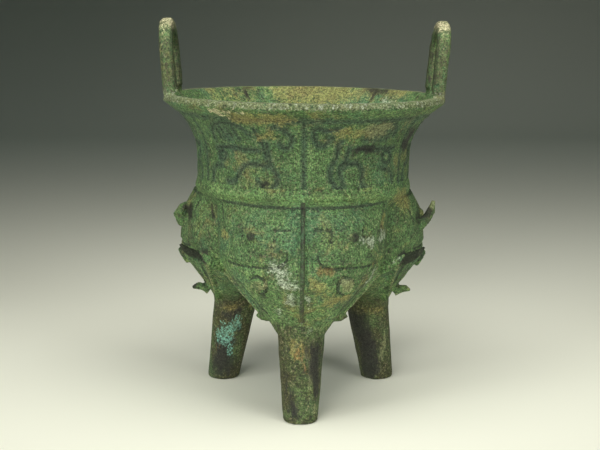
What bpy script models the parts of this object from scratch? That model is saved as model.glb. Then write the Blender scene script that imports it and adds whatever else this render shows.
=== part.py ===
"""A lobed bronze ding: one casting with three lobes on legs, two loop handles and raised masks."""
import math

import bmesh
import bpy
from mathutils import Matrix, Vector

# Whole vessel
LOBES = 3
LEAN = math.radians(0.7)
WALL = 0.003
WALL_SLOPE_SHIFT = 0.0018
FLATTEN_ANGLE = math.radians(2.5)

# Neck and lip
RIM_HEIGHT = 0.1885
RIM_RADIUS = 0.086
RIM_FLAT = 0.0068
LIP_EDGE = 0.0038
LIP_BEVEL = 0.0007
NECK_RADIUS = 0.0652
NECK_FOOT = 0.1315
NECK_FOOT_FLARE = 0.0006
NECK_STRAIGHT = 0.0085
FLARE_START = NECK_FOOT + NECK_STRAIGHT
FLARE_POWER = 3.4
FLARE_ROWS = 5
BAND_STAND = 0.0008
BAND_HEIGHT = 0.0050
BAND_BEVEL = 0.0010

# Frieze of dragons on the neck, whose points are shares of half a unit's length and of its height
RIB_HALF = 0.0026
RIB_ROOT = 0.0018
RIB_STAND = 0.0008
FRIEZE_RISE = 0.0075
FRIEZE_DROP = 0.0120
FRIEZE_FOOT = NECK_FOOT + FRIEZE_RISE
FRIEZE_TOP = RIM_HEIGHT - FRIEZE_DROP
FRIEZE_ROWS = 4
HOOK_CENTRE = (0.176, 0.781)
HOOK_RADIUS = 0.0061
HOOK_START = math.radians(40.0)
HOOK_TURN = math.radians(250.0)
HOOK_STEPS = 5
DRAGON_BODY = (
    (0.369, 0.707), (0.297, 0.600), (0.261, 0.373),
    (0.224, 0.160), (0.271, -0.013), (0.356, 0.027),
)
DRAGON_LEG = ((0.293, 0.320), (0.425, 0.360), (0.527, 0.253), (0.578, 0.067), (0.710, 0.053))
DRAGON_JAW = ((0.454, 0.600), (0.659, 0.587), (0.864, 0.573))
DRAGON_HORN = (0.644, 0.813)
HORN_HALF_LENGTH = 0.0100
HORN_HALF_HEIGHT = 0.0055
HORN_CREST = 0.60
HORN_STAND = 0.0010
HORN_STEPS = 6
DRAGON_EYE = (0.769, 0.427)
DRAGON_EYE_RADIUS = 0.0034
DRAGON_EYE_STEPS = 6

# Bowl between the lobes
BOWL_RADIUS = 0.051
BOWL_SHOULDER = 0.110
BOWL_MIDDLE = 0.095
BOWL_BOTTOM = 0.070
BOWL_ROWS = 4
ROUND_STEPS = 48

# Lobes
BELLY_HEIGHT = 0.098
BELLY_CENTRE = 0.0300
BELLY_HALF = 0.0505
SHOULDER_DROP = 0.0005
SHOULDER_TOP = NECK_FOOT - SHOULDER_DROP
SHOULDER_CENTRE = 0.0100
SHOULDER_HALF = 0.0550
SHOULDER_POWER = 1.8
LOBE_TOP_RISE = 0.0035
LOBE_TOP = SHOULDER_TOP + LOBE_TOP_RISE
LOBE_TOP_HALF = 0.050
KEEL_HEIGHT = 0.060
KEEL_HALF = 0.0215
KEEL_DEEP = 0.0145
KEEL_CENTRE = 0.0470
KEEL_WIDENING = 0.95
KEEL_DEEPENING = 1.41
KEEL_DRAWING_IN = 0.59
LOBE_ROUNDING = 0.008
LEG_ROUNDING = 0.003
LOBE_STEPS = 32
RING_SHIFT = 0.25
SHOULDER_ROWS = 5
KEEL_ROWS = 7
HOLLOW_RISE = 0.0025
HOLLOW_FLOOR = KEEL_HEIGHT + HOLLOW_RISE
HOLLOW_ROWS = 4
HOLLOW_STEPS = 20

# Legs
LEG_TOP_DROP = 0.010
LEG_TOP = KEEL_HEIGHT - LEG_TOP_DROP
LEG_TOP_RADIUS = 0.0138
FOOT_RADIUS = 0.0103
FOOT_CIRCLE = 0.0588
LEG_SPLAY = 0.176
LEG_ROWS = 3
FOOT_BEVEL = 0.0012
FOOT_SPARE = 0.004

# Handles
HANDLE_HEIGHT = 0.0455
HANDLE_WIDTH = 0.045
HANDLE_BAR = 0.0090
HANDLE_THICK = 0.0080
HANDLE_BEVEL = 0.0016
HANDLE_INSET = 0.0060
HANDLE_ROOT = 0.0025
HANDLE_LEAN = math.radians(5.0)
HANDLE_ARC_STEPS = 12

# Flange down the middle of each mask
FLANGE_WIDTH = 0.0030
FLANGE_CREST = 0.0021
FLANGE_STAND = 0.0022
FLANGE_ROOT = 0.0025
FLANGE_RISE = 0.0005
FLANGE_TOP = SHOULDER_TOP + FLANGE_RISE
FLANGE_ROWS = 10

# Raised upper half of each mask
PANEL_STAND = 0.0009
PANEL_ROOT = 0.0016
PANEL_TOP_DROP = 0.0020
PANEL_FOOT_DROP = 0.0010
PANEL_TOP = SHOULDER_TOP - PANEL_TOP_DROP
PANEL_FOOT = BELLY_HEIGHT - PANEL_FOOT_DROP
PANEL_NOTCH = 0.0065
PANEL_NOTCH_ANGLE = math.radians(12.0)
PANEL_INNER_ANGLE = math.radians(4.0)
PANEL_OUTER_ANGLE = math.radians(70.0)
PANEL_COLUMNS = 6
PANEL_ROWS = 3

# Eyes and round bosses
EYE_RADIUS = 0.0042
EYE_CREST = 0.0025
EYE_STAND = 0.0022
EYE_EDGE = 0.0011
EYE_ANGLE = math.radians(34.0)
EYE_RISE = 0.0145
BOSS_RADIUS = 0.0058
BOSS_CREST = 0.0051
BOSS_STAND = 0.0019
BOSS_EDGE = 0.0013
BOSS_DISH = 0.0008
BOSS_DISH_RADIUS = 0.0044
BOSS_ANGLE = math.radians(34.5)
BOSS_DROP = 0.0140
STUD_ROOT = 0.0025
STUD_STEPS = 10

# Lip that follows the keel of each lobe, from the cheek blade down to the fang
RIDGE_RADIUS = 0.0021
RIDGE_ANGLE = math.radians(80.0)
RIDGE_LENGTH = 0.0300
RIDGE_ROWS = 6
RIDGE_SIDES = 5

# Blades of the masks. A root lies on the skin, by its angle, height above the keel's foot and stand.
# A reach runs from the root to the tip: outward, sideways and upward.
CHEEK_ROOT = (math.radians(79.8), 0.0285, -0.0027)
CHEEK_REACH = (0.0105, 0.0160, 0.0105)
CHEEK_BROAD = (-0.25, -0.35, 0.90)
CHEEK_SIZE = (0.0058, 0.0018, 0.0012, 0.0008)
CHEEK_BOW = (0.0010, 0.0000, -0.0020)
FANG_ROOT = (math.radians(86.6), 0.0005, -0.0070)
FANG_REACH = (0.0010, 0.0118, 0.0010)
FANG_BROAD = (0.0, -0.2, 1.0)
FANG_SIZE = (0.0032, 0.0026, 0.0014, 0.0012)
FANG_BOW = (0.0, 0.0, -0.0016)
EAR_ROOT = (math.radians(51.3), 0.0460, -0.0045)
EAR_REACH = (0.0088, 0.0102, 0.0185)
EAR_BROAD = (0.74, 0.42, -0.50)
EAR_SIZE = (0.0046, 0.0026, 0.0024, 0.0015)
EAR_BOW = (0.0016, 0.0020, -0.0022)
BENT_EAR_LOBE = 2
BENT_EAR_REACH = (-0.0012, 0.0002, 0.0175)
BENT_EAR_BOW = (0.0068, 0.0066, -0.0010)
BARB_ROOT = (math.radians(62.1), 0.0030, 0.0011)
BARB_REACH = (0.0090, 0.0065, 0.0015)
BARB_BROAD = (0.0, 0.0, 1.0)
BARB_SIZE = (0.0042, 0.0022, 0.0012, 0.0010)
BARB_BOW = (0.0, 0.0, 0.0014)
BLADE_ROWS = 4
BLADE_SIDES = 5
BLADE_TIP = 0.55

# Finish
SLOPE_RISE = 0.0005
SLOPE_TURN = math.radians(0.5)
SMOOTH_ANGLE = math.radians(35.0)
PATINA_COLOUR = (0.150, 0.210, 0.120, 1.0)
PATINA_ROUGHNESS = 0.75
PATINA_METALLIC = 0.15


def soft_least(first, second, rounding):
    """The smaller of two values, with the corner between them rounded."""
    overlap = max(rounding - abs(first - second), 0.0)
    return min(first, second) - overlap * overlap / (4.0 * rounding)


def soft_most(first, second, rounding):
    """The larger of two values, with the corner between them rounded."""
    return -soft_least(-first, -second, rounding)


def between(start, end, share):
    """The value at a share of the way from start to end."""
    return start + (end - start) * share


def leg_section(height):
    """How far out a leg's centre is at a height, and the leg's radius there."""
    centre = FOOT_CIRCLE - LEG_SPLAY * height
    radius = between(FOOT_RADIUS, LEG_TOP_RADIUS, min(height / LEG_TOP, 1.0))
    return centre, radius


def lobe_section(height):
    """A lobe's level section: its centre's distance out, half width across and half depth outward."""
    if height > SHOULDER_TOP:
        share = (height - SHOULDER_TOP) / (LOBE_TOP - SHOULDER_TOP)
        half = between(SHOULDER_HALF, LOBE_TOP_HALF, share)
        return SHOULDER_CENTRE, half, half
    if height > BELLY_HEIGHT:
        rise = (height - BELLY_HEIGHT) / (SHOULDER_TOP - BELLY_HEIGHT)
        fullness = (1.0 - rise ** SHOULDER_POWER) ** (1.0 / SHOULDER_POWER)
        centre = between(SHOULDER_CENTRE, BELLY_CENTRE, fullness)
        half = between(SHOULDER_HALF, BELLY_HALF, fullness)
        return centre, half, half
    leg_centre, leg_radius = leg_section(height)
    drop = height - KEEL_HEIGHT
    across = soft_least(BELLY_HALF, KEEL_HALF + KEEL_WIDENING * drop, LOBE_ROUNDING)
    deep = soft_least(BELLY_HALF, KEEL_DEEP + KEEL_DEEPENING * drop, LOBE_ROUNDING)
    centre = soft_most(BELLY_CENTRE, KEEL_CENTRE - KEEL_DRAWING_IN * drop, LOBE_ROUNDING)
    return (
        soft_least(leg_centre, centre, LEG_ROUNDING),
        soft_most(leg_radius, across, LEG_ROUNDING),
        soft_most(leg_radius, deep, LEG_ROUNDING),
    )


def hollow_section(height):
    """The lobe's section inside the wall, which keeps its thickness where the lobe slopes."""
    rise = (height - BELLY_HEIGHT) / (SHOULDER_TOP - BELLY_HEIGHT)
    shift = WALL_SLOPE_SHIFT * max(min(rise, 1.0), -1.0)
    centre, across, deep = lobe_section(height + shift)
    return centre, across - WALL, deep - WALL


def lobe_azimuth(index):
    """A lobe's direction about the axis; the first faces the front."""
    return 2.0 * math.pi * index / LOBES


def placed(azimuth, outward, sideways, height):
    """A point given by its distances outward and sideways from the axis in a lobe's direction."""
    return Vector((
        outward * math.sin(azimuth) + sideways * math.cos(azimuth),
        sideways * math.sin(azimuth) - outward * math.cos(azimuth),
        height,
    ))


def lobe_point(azimuth, angle, height, stand=0.0):
    """A point on a lobe's skin, or standing off it, at an angle from the middle of its mask."""
    centre, across, deep = lobe_section(height)
    outward = centre + (deep + stand) * math.cos(angle)
    return placed(azimuth, outward, (across + stand) * math.sin(angle), height)


def lobe_normal(azimuth, angle, height):
    """The direction straight out of a lobe's skin."""
    after = lobe_point(azimuth, angle + SLOPE_TURN, height)
    before = lobe_point(azimuth, angle - SLOPE_TURN, height)
    above = lobe_point(azimuth, angle, height + SLOPE_RISE)
    below = lobe_point(azimuth, angle, height - SLOPE_RISE)
    return (after - before).cross(above - below).normalized()


def neck_radius(height):
    """The neck's outer radius at a height, up to the foot of the lip's edge."""
    share = max((height - FLARE_START) / (RIM_HEIGHT - LIP_EDGE - FLARE_START), 0.0)
    return NECK_RADIUS + (RIM_RADIUS - NECK_RADIUS) * share ** FLARE_POWER


def neck_point(azimuth, along, height, stand):
    """A point on the neck's skin, or standing off it, at a distance along it from a mask's middle."""
    return placed(azimuth + along / NECK_RADIUS, neck_radius(height) + stand, 0.0, height)


def add_solid(name, mesh_faces, collection):
    """An object made from a bmesh, with its faces turned outward."""
    bmesh.ops.recalc_face_normals(mesh_faces, faces=mesh_faces.faces)
    mesh = bpy.data.meshes.new(name)
    mesh_faces.to_mesh(mesh)
    mesh_faces.free()
    solid = bpy.data.objects.new(name, mesh)
    collection.objects.link(solid)
    return solid


def add_loft(name, rings, collection):
    """A closed solid skinned over rings that have the same number of points."""
    loft = bmesh.new()
    rows = [[loft.verts.new(point) for point in ring] for ring in rings]
    for lower, upper in zip(rows, rows[1:]):
        for index in range(len(lower)):
            following = (index + 1) % len(lower)
            loft.faces.new((lower[index], lower[following], upper[following], upper[index]))
    loft.faces.new(rows[0])
    loft.faces.new(rows[-1])
    return add_solid(name, loft, collection)


def add_turned(name, profile, collection):
    """A solid of revolution about the axis from a profile of radius and height."""
    rings = []
    for radius, height in profile:
        ring = []
        for step in range(ROUND_STEPS):
            turn = 2.0 * math.pi * step / ROUND_STEPS
            ring.append(Vector((radius * math.cos(turn), radius * math.sin(turn), height)))
        rings.append(ring)
    return add_loft(name, rings, collection)


def bowl_profile(radius, bottom):
    """The lower half of the bowl as radius and height, from near the axis upward."""
    points = []
    for row in range(1, BOWL_ROWS + 1):
        turn = 0.5 * math.pi * row / BOWL_ROWS
        drop = (BOWL_MIDDLE - bottom) * math.cos(turn)
        points.append((radius * math.sin(turn), BOWL_MIDDLE - drop))
    return points


def outer_profile():
    """The outside of bowl, neck and lip, closed over at the rim's level."""
    band_foot = NECK_FOOT + BAND_BEVEL
    band_top = band_foot + BAND_HEIGHT
    points = bowl_profile(BOWL_RADIUS, BOWL_BOTTOM)
    points.append((BOWL_RADIUS, BOWL_SHOULDER))
    points.append((NECK_RADIUS + NECK_FOOT_FLARE, NECK_FOOT))
    points.append((NECK_RADIUS + NECK_FOOT_FLARE + BAND_STAND, band_foot))
    points.append((NECK_RADIUS + BAND_STAND, band_top))
    points.append((NECK_RADIUS, band_top + BAND_BEVEL))
    for row in range(1, FLARE_ROWS + 1):
        height = between(FLARE_START, RIM_HEIGHT - LIP_EDGE, row / FLARE_ROWS)
        points.append((neck_radius(height), height))
    points.append((RIM_RADIUS, RIM_HEIGHT - LIP_BEVEL))
    points.append((RIM_RADIUS - LIP_BEVEL, RIM_HEIGHT))
    return points


def inner_profile():
    """The hollow of bowl, neck and mouth, open above the rim."""
    cone_shift = WALL * math.hypot(NECK_RADIUS - BOWL_RADIUS, NECK_FOOT - BOWL_SHOULDER)
    cone_shift /= NECK_FOOT - BOWL_SHOULDER
    mouth = RIM_RADIUS - RIM_FLAT
    neck = NECK_RADIUS - WALL
    points = bowl_profile(BOWL_RADIUS - cone_shift, BOWL_BOTTOM + WALL)
    points.append((BOWL_RADIUS - cone_shift, BOWL_SHOULDER))
    points.append((neck, NECK_FOOT + cone_shift - WALL))
    for row in range(FLARE_ROWS + 1):
        share = row / FLARE_ROWS
        spread = (mouth - neck) * share ** FLARE_POWER
        points.append((neck + spread, between(FLARE_START, RIM_HEIGHT - LIP_BEVEL, share)))
    points.append((mouth + LIP_BEVEL, RIM_HEIGHT))
    points.append((mouth + LIP_BEVEL, RIM_HEIGHT + LIP_EDGE))
    return points


def level_ring(azimuth, section, height, steps):
    """The oval of a lobe or leg at one height."""
    centre, across, deep = section
    ring = []
    for step in range(steps):
        turn = 2.0 * math.pi * (step + RING_SHIFT) / steps
        outward = centre + deep * math.cos(turn)
        ring.append(placed(azimuth, outward, across * math.sin(turn), height))
    return ring


def add_lobe(index, collection):
    """A lobe and its leg, from inside the neck down to below the floor."""
    azimuth = lobe_azimuth(index)
    heights = [LOBE_TOP]
    for row in range(SHOULDER_ROWS + 1):
        turn = 0.5 * math.pi * row / SHOULDER_ROWS
        heights.append(BELLY_HEIGHT + (SHOULDER_TOP - BELLY_HEIGHT) * math.cos(turn))
    for row in range(1, KEEL_ROWS + 1):
        heights.append(between(BELLY_HEIGHT, LEG_TOP, row / KEEL_ROWS))
    for row in range(1, LEG_ROWS + 1):
        heights.append(between(LEG_TOP, -FOOT_SPARE, row / LEG_ROWS))
    rings = [level_ring(azimuth, lobe_section(height), height, LOBE_STEPS) for height in heights]
    add_loft("lobe_%d" % index, rings, collection)


def add_lobe_hollow(index, collection):
    """The hollow of a lobe, which ends above the solid leg."""
    azimuth = lobe_azimuth(index)
    heights = []
    for row in range(SHOULDER_ROWS + 1):
        turn = 0.5 * math.pi * row / SHOULDER_ROWS
        heights.append(BELLY_HEIGHT + (SHOULDER_TOP - 2.0 * WALL - BELLY_HEIGHT) * math.cos(turn))
    for row in range(1, HOLLOW_ROWS + 1):
        heights.append(between(BELLY_HEIGHT, HOLLOW_FLOOR, row / HOLLOW_ROWS))
    rings = [level_ring(azimuth, hollow_section(height), height, HOLLOW_STEPS) for height in heights]
    add_loft("lobe_hollow_%d" % index, rings, collection)


def add_handle(side, collection):
    """An upright loop handle on the rim at one side of the vessel."""
    radius = 0.5 * (HANDLE_WIDTH - HANDLE_BAR)
    spring = HANDLE_HEIGHT - 0.5 * HANDLE_WIDTH
    path = [(-radius, -HANDLE_ROOT, 0.0)]
    for step in range(HANDLE_ARC_STEPS + 1):
        turn = math.pi * step / HANDLE_ARC_STEPS
        path.append((-radius * math.cos(turn), spring + radius * math.sin(turn), turn))
    path.append((radius, -HANDLE_ROOT, math.pi))
    half_bar = 0.5 * HANDLE_BAR
    half_thick = 0.5 * HANDLE_THICK
    corners = []
    for across, out in ((1, 1), (-1, 1), (-1, -1), (1, -1)):
        beside = (across * half_bar, out * (half_thick - HANDLE_BEVEL))
        below = (across * (half_bar - HANDLE_BEVEL), out * half_thick)
        corners.extend((beside, below) if across == out else (below, beside))
    rings = []
    for along, height, turn in path:
        ring = []
        for across, out in corners:
            ring.append(Vector((out, along + across * math.cos(turn), height - across * math.sin(turn))))
        rings.append(ring)
    handle = add_loft("handle_%s" % ("right" if side > 0 else "left"), rings, collection)
    stance = Matrix.Translation((side * (RIM_RADIUS - HANDLE_INSET), 0.0, RIM_HEIGHT))
    handle.data.transform(stance @ Matrix.Rotation(side * HANDLE_LEAN, 4, "Y"))


def add_flange(index, collection):
    """The upright flange down the middle of a mask."""
    azimuth = lobe_azimuth(index)
    half = 0.5 * FLANGE_WIDTH
    crest_half = 0.5 * FLANGE_CREST
    rings = []
    for row in range(FLANGE_ROWS + 1):
        height = between(KEEL_HEIGHT, FLANGE_TOP, row / FLANGE_ROWS)
        centre, across, deep = lobe_section(height)
        root = centre + deep - FLANGE_ROOT
        crest = centre + deep + FLANGE_STAND
        edges = ((root, -half), (root, half), (crest, crest_half), (crest, -crest_half))
        rings.append([placed(azimuth, outward, sideways, height) for outward, sideways in edges])
    add_loft("flange_%d" % index, rings, collection)


def add_panel(index, side, collection):
    """The raised upper half of a mask on one side of its flange."""
    azimuth = lobe_azimuth(index)
    panel = bmesh.new()
    layers = []
    for stand in (PANEL_STAND, -PANEL_ROOT):
        layer = []
        for column in range(PANEL_COLUMNS + 1):
            angle = between(PANEL_INNER_ANGLE, PANEL_OUTER_ANGLE, column / PANEL_COLUMNS)
            foot = PANEL_FOOT + (PANEL_NOTCH if angle < PANEL_NOTCH_ANGLE else 0.0)
            line = []
            for row in range(PANEL_ROWS + 1):
                height = between(foot, PANEL_TOP, row / PANEL_ROWS)
                line.append(panel.verts.new(lobe_point(azimuth, side * angle, height, stand)))
            layer.append(line)
        layers.append(layer)
    for layer in layers:
        for column in range(PANEL_COLUMNS):
            for row in range(PANEL_ROWS):
                panel.faces.new((
                    layer[column][row], layer[column + 1][row],
                    layer[column + 1][row + 1], layer[column][row + 1],
                ))
    border = [(column, 0) for column in range(PANEL_COLUMNS)]
    border += [(PANEL_COLUMNS, row) for row in range(PANEL_ROWS)]
    border += [(column, PANEL_ROWS) for column in range(PANEL_COLUMNS, 0, -1)]
    border += [(0, row) for row in range(PANEL_ROWS, 0, -1)]
    for start, end in zip(border, border[1:] + border[:1]):
        panel.faces.new((
            layers[0][start[0]][start[1]], layers[0][end[0]][end[1]],
            layers[1][end[0]][end[1]], layers[1][start[0]][start[1]],
        ))
    add_solid("panel_%d_%s" % (index, "right" if side > 0 else "left"), panel, collection)


def add_stud(name, azimuth, angle, height, outline, collection):
    """A round stud standing square to a lobe's skin, from an outline of radius and stand."""
    normal = lobe_normal(azimuth, angle, height)
    stance = normal.to_track_quat("Z", "X").to_matrix().to_4x4()
    stance.translation = lobe_point(azimuth, angle, height)
    rings = []
    for radius, stand in outline:
        ring = []
        for step in range(STUD_STEPS):
            turn = 2.0 * math.pi * step / STUD_STEPS
            ring.append(stance @ Vector((radius * math.cos(turn), radius * math.sin(turn), stand)))
        rings.append(ring)
    add_loft(name, rings, collection)


def add_blade(name, azimuth, side, root, reach, broad, size, bow, collection):
    """A tapering blade of a mask, from its root at the skin out to its rounded tip."""
    angle, rise, stand = root
    start = lobe_point(azimuth, side * angle, KEEL_HEIGHT + rise, stand)
    end = start + placed(azimuth, reach[0], side * reach[1], reach[2])
    bend = placed(azimuth, bow[0], side * bow[1], bow[2])
    wide = placed(azimuth, broad[0], side * broad[1], broad[2]).normalized()
    root_half, tip_half, root_thick, tip_thick = size
    rings = []
    for row in range(BLADE_ROWS + 1):
        share = row / BLADE_ROWS
        centre = start.lerp(end, share) + bend * (4.0 * share * (1.0 - share))
        along = (end - start) + bend * (4.0 - 8.0 * share)
        thin = along.cross(wide).normalized()
        across = thin.cross(along).normalized()
        close = BLADE_TIP if row == BLADE_ROWS else 1.0
        half = between(root_half, tip_half, share) * close
        thick = between(root_thick, tip_thick, share) * close
        ring = []
        for step in range(BLADE_SIDES):
            turn = 2.0 * math.pi * step / BLADE_SIDES
            ring.append(centre + across * (half * math.cos(turn)) + thin * (thick * math.sin(turn)))
        rings.append(ring)
    add_loft(name, rings, collection)


def add_ridge(name, azimuth, side, collection):
    """The lip along the keel of a lobe on one side."""
    rings = []
    for row in range(RIDGE_ROWS + 1):
        height = KEEL_HEIGHT + RIDGE_LENGTH * row / RIDGE_ROWS
        centre = lobe_point(azimuth, side * RIDGE_ANGLE, height)
        out = lobe_normal(azimuth, side * RIDGE_ANGLE, height)
        along = lobe_point(azimuth, side * RIDGE_ANGLE, height + SLOPE_RISE) - centre
        across = out.cross(along).normalized()
        ring = []
        for step in range(RIDGE_SIDES):
            turn = 2.0 * math.pi * step / RIDGE_SIDES
            ring.append(centre + (out * math.cos(turn) + across * math.sin(turn)) * RIDGE_RADIUS)
        rings.append(ring)
    add_loft(name, rings, collection)


def add_mask(index, collection):
    """The raised mask on a lobe: flange, panels, eyes, bosses, keel lips and blades."""
    azimuth = lobe_azimuth(index)
    add_flange(index, collection)
    eye = ((EYE_RADIUS, -STUD_ROOT), (EYE_RADIUS, EYE_EDGE), (EYE_CREST, EYE_STAND))
    boss = (
        (BOSS_RADIUS, -STUD_ROOT), (BOSS_RADIUS, BOSS_EDGE), (BOSS_CREST, BOSS_STAND),
        (BOSS_DISH_RADIUS, BOSS_STAND - BOSS_DISH),
    )
    for side in (-1, 1):
        ending = "%d_%s" % (index, "right" if side > 0 else "left")
        add_panel(index, side, collection)
        eye_height = BELLY_HEIGHT + EYE_RISE
        boss_height = BELLY_HEIGHT - BOSS_DROP
        add_stud("eye_" + ending, azimuth, side * EYE_ANGLE, eye_height, eye, collection)
        add_stud("boss_" + ending, azimuth, side * BOSS_ANGLE, boss_height, boss, collection)
        add_ridge("keel_lip_" + ending, azimuth, side, collection)
        add_blade(
            "cheek_" + ending, azimuth, side,
            CHEEK_ROOT, CHEEK_REACH, CHEEK_BROAD, CHEEK_SIZE, CHEEK_BOW, collection,
        )
        add_blade(
            "fang_" + ending, azimuth, side,
            FANG_ROOT, FANG_REACH, FANG_BROAD, FANG_SIZE, FANG_BOW, collection,
        )
        if index > 0:
            bent = index == BENT_EAR_LOBE and side > 0
            ear_reach = BENT_EAR_REACH if bent else EAR_REACH
            ear_bow = BENT_EAR_BOW if bent else EAR_BOW
            add_blade(
                "ear_" + ending, azimuth, side,
                EAR_ROOT, ear_reach, EAR_BROAD, EAR_SIZE, ear_bow, collection,
            )
            add_blade(
                "barb_" + ending, azimuth, side,
                BARB_ROOT, BARB_REACH, BARB_BROAD, BARB_SIZE, BARB_BOW, collection,
            )


def frieze_place(point):
    """Distance along the neck and height of a point given in shares of half a unit of the frieze."""
    half_unit = NECK_RADIUS * math.pi / LOBES
    return point[0] * half_unit, between(FRIEZE_FOOT, FRIEZE_TOP, point[1])


def add_neck_rib(name, azimuth, side, path, collection):
    """A raised line of the neck's ornament, along a path of distance along the neck and height."""
    rings = []
    for index, (along, height) in enumerate(path):
        before = path[max(index - 1, 0)]
        after = path[min(index + 1, len(path) - 1)]
        run = math.hypot(after[0] - before[0], after[1] - before[1])
        wide = RIB_HALF * (after[1] - before[1]) / run
        tall = RIB_HALF * (before[0] - after[0]) / run
        rings.append((
            neck_point(azimuth, side * (along + wide), height + tall, -RIB_ROOT),
            neck_point(azimuth, side * along, height, RIB_STAND),
            neck_point(azimuth, side * (along - wide), height - tall, -RIB_ROOT),
        ))
    add_loft(name, rings, collection)


def add_neck_oval(name, azimuth, side, middle, half_length, half_height, steps, collection):
    """A raised oval of the neck's ornament."""
    rings = []
    for share, stand in ((1.0, -RIB_ROOT), (1.0, 0.5 * HORN_STAND), (HORN_CREST, HORN_STAND)):
        ring = []
        for step in range(steps):
            turn = 2.0 * math.pi * step / steps
            along = frieze_place(middle)[0] + half_length * share * math.cos(turn)
            height = frieze_place(middle)[1] + half_height * share * math.sin(turn)
            ring.append(neck_point(azimuth, side * along, height, stand))
        rings.append(ring)
    add_loft(name, rings, collection)


def add_frieze(index, collection):
    """The pair of dragons on the neck above a mask, with the upright lines beside them."""
    azimuth = lobe_azimuth(index)
    along, height = frieze_place(HOOK_CENTRE)
    paths = {"hook": []}
    for step in range(HOOK_STEPS + 1):
        turn = HOOK_START + HOOK_TURN * step / HOOK_STEPS
        paths["hook"].append((along + HOOK_RADIUS * math.cos(turn), height + HOOK_RADIUS * math.sin(turn)))
    for name, points in (("body", DRAGON_BODY), ("leg", DRAGON_LEG), ("jaw", DRAGON_JAW)):
        paths[name] = [frieze_place(point) for point in points]
    for side in (-1, 1):
        ending = "%d_%s" % (index, "right" if side > 0 else "left")
        for name, path in paths.items():
            add_neck_rib("%s_%s" % (name, ending), azimuth, side, path, collection)
        add_neck_oval(
            "horn_" + ending, azimuth, side, DRAGON_HORN,
            HORN_HALF_LENGTH, HORN_HALF_HEIGHT, HORN_STEPS, collection,
        )
        add_neck_oval(
            "dragon_eye_" + ending, azimuth, side, DRAGON_EYE,
            DRAGON_EYE_RADIUS, DRAGON_EYE_RADIUS, DRAGON_EYE_STEPS, collection,
        )
    for name, share in (("middle", 0.0), ("divider", 1.0)):
        upright = [frieze_place((share, row / FRIEZE_ROWS)) for row in range(FRIEZE_ROWS + 1)]
        add_neck_rib("%s_%d" % (name, index), azimuth, 1, upright, collection)


def add_bronze():
    """Bronze under a green patina."""
    bronze = bpy.data.materials.new("green_bronze")
    bronze.use_nodes = True
    shader = bronze.node_tree.nodes["Principled BSDF"]
    shader.inputs["Base Color"].default_value = PATINA_COLOUR
    shader.inputs["Roughness"].default_value = PATINA_ROUGHNESS
    shader.inputs["Metallic"].default_value = PATINA_METALLIC
    return bronze


def cut_and_join(body, collection, operation):
    """A Boolean of the body with every solid of a collection."""
    modifier = body.modifiers.new(collection.name, "BOOLEAN")
    modifier.operation = operation
    modifier.operand_type = "COLLECTION"
    modifier.collection = collection
    modifier.solver = "EXACT"


def add_collection(name):
    """A collection for helper solids."""
    collection = bpy.data.collections.new(name)
    bpy.context.scene.collection.children.link(collection)
    return collection


def finished_mesh(body):
    """The body's mesh with its modifiers applied."""
    graph = bpy.context.evaluated_depsgraph_get()
    return bpy.data.meshes.new_from_object(body.evaluated_get(graph))


def remove_all():
    """An empty scene."""
    for item in list(bpy.data.objects):
        bpy.data.objects.remove(item, do_unlink=True)


def build_vessel():
    """The whole casting as one solid."""
    forms = add_collection("forms")
    hollows = add_collection("hollows")
    scene_collection = bpy.context.scene.collection
    body = add_turned("ding_vessel", outer_profile(), scene_collection)
    for index in range(LOBES):
        add_lobe(index, forms)
        add_mask(index, forms)
        add_frieze(index, forms)
        add_lobe_hollow(index, hollows)
    for side in (-1, 1):
        add_handle(side, forms)
    add_turned("neck_hollow", inner_profile(), hollows)
    cut_and_join(body, forms, "UNION")
    cut_and_join(body, hollows, "DIFFERENCE")
    body.data = finished_mesh(body)
    body.modifiers.clear()
    for helper in list(forms.objects) + list(hollows.objects):
        bpy.data.objects.remove(helper, do_unlink=True)
    return body


def stand_level(body):
    """Lean the casting, cut its feet level, round them and put the middle of its box on the origin."""
    body.data.transform(Matrix.Rotation(LEAN, 4, "Y"))
    level = bmesh.new()
    level.from_mesh(body.data)
    everything = level.verts[:] + level.edges[:] + level.faces[:]
    cut = bmesh.ops.bisect_plane(
        level, geom=everything, plane_co=(0.0, 0.0, 0.0), plane_no=(0.0, 0.0, 1.0), clear_inner=True,
    )
    rim = [item for item in cut["geom_cut"] if isinstance(item, bmesh.types.BMEdge)]
    bmesh.ops.holes_fill(level, edges=rim, sides=0)
    bmesh.ops.bevel(level, geom=rim, offset=FOOT_BEVEL, segments=2, profile=0.5, affect="EDGES")
    bmesh.ops.dissolve_limit(level, angle_limit=FLATTEN_ANGLE, verts=level.verts, edges=level.edges)
    bmesh.ops.recalc_face_normals(level, faces=level.faces)
    level.to_mesh(body.data)
    level.free()
    lefts = [vertex.co.x for vertex in body.data.vertices]
    fronts = [vertex.co.y for vertex in body.data.vertices]
    middle = Vector((0.5 * (min(lefts) + max(lefts)), 0.5 * (min(fronts) + max(fronts)), 0.0))
    body.data.transform(Matrix.Translation(-middle))


remove_all()
vessel = build_vessel()
stand_level(vessel)
vessel.data.materials.clear()
vessel.data.materials.append(add_bronze())
vessel.data.shade_smooth()
vessel.data.set_sharp_from_angle(angle=SMOOTH_ANGLE)
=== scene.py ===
"""The look of a lobed bronze ding: one weathered casting, dragons on its neck and masks on its lobes."""
import math
from collections import namedtuple

import bmesh
import bpy
import numpy as np
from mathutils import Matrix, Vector, noise


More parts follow.
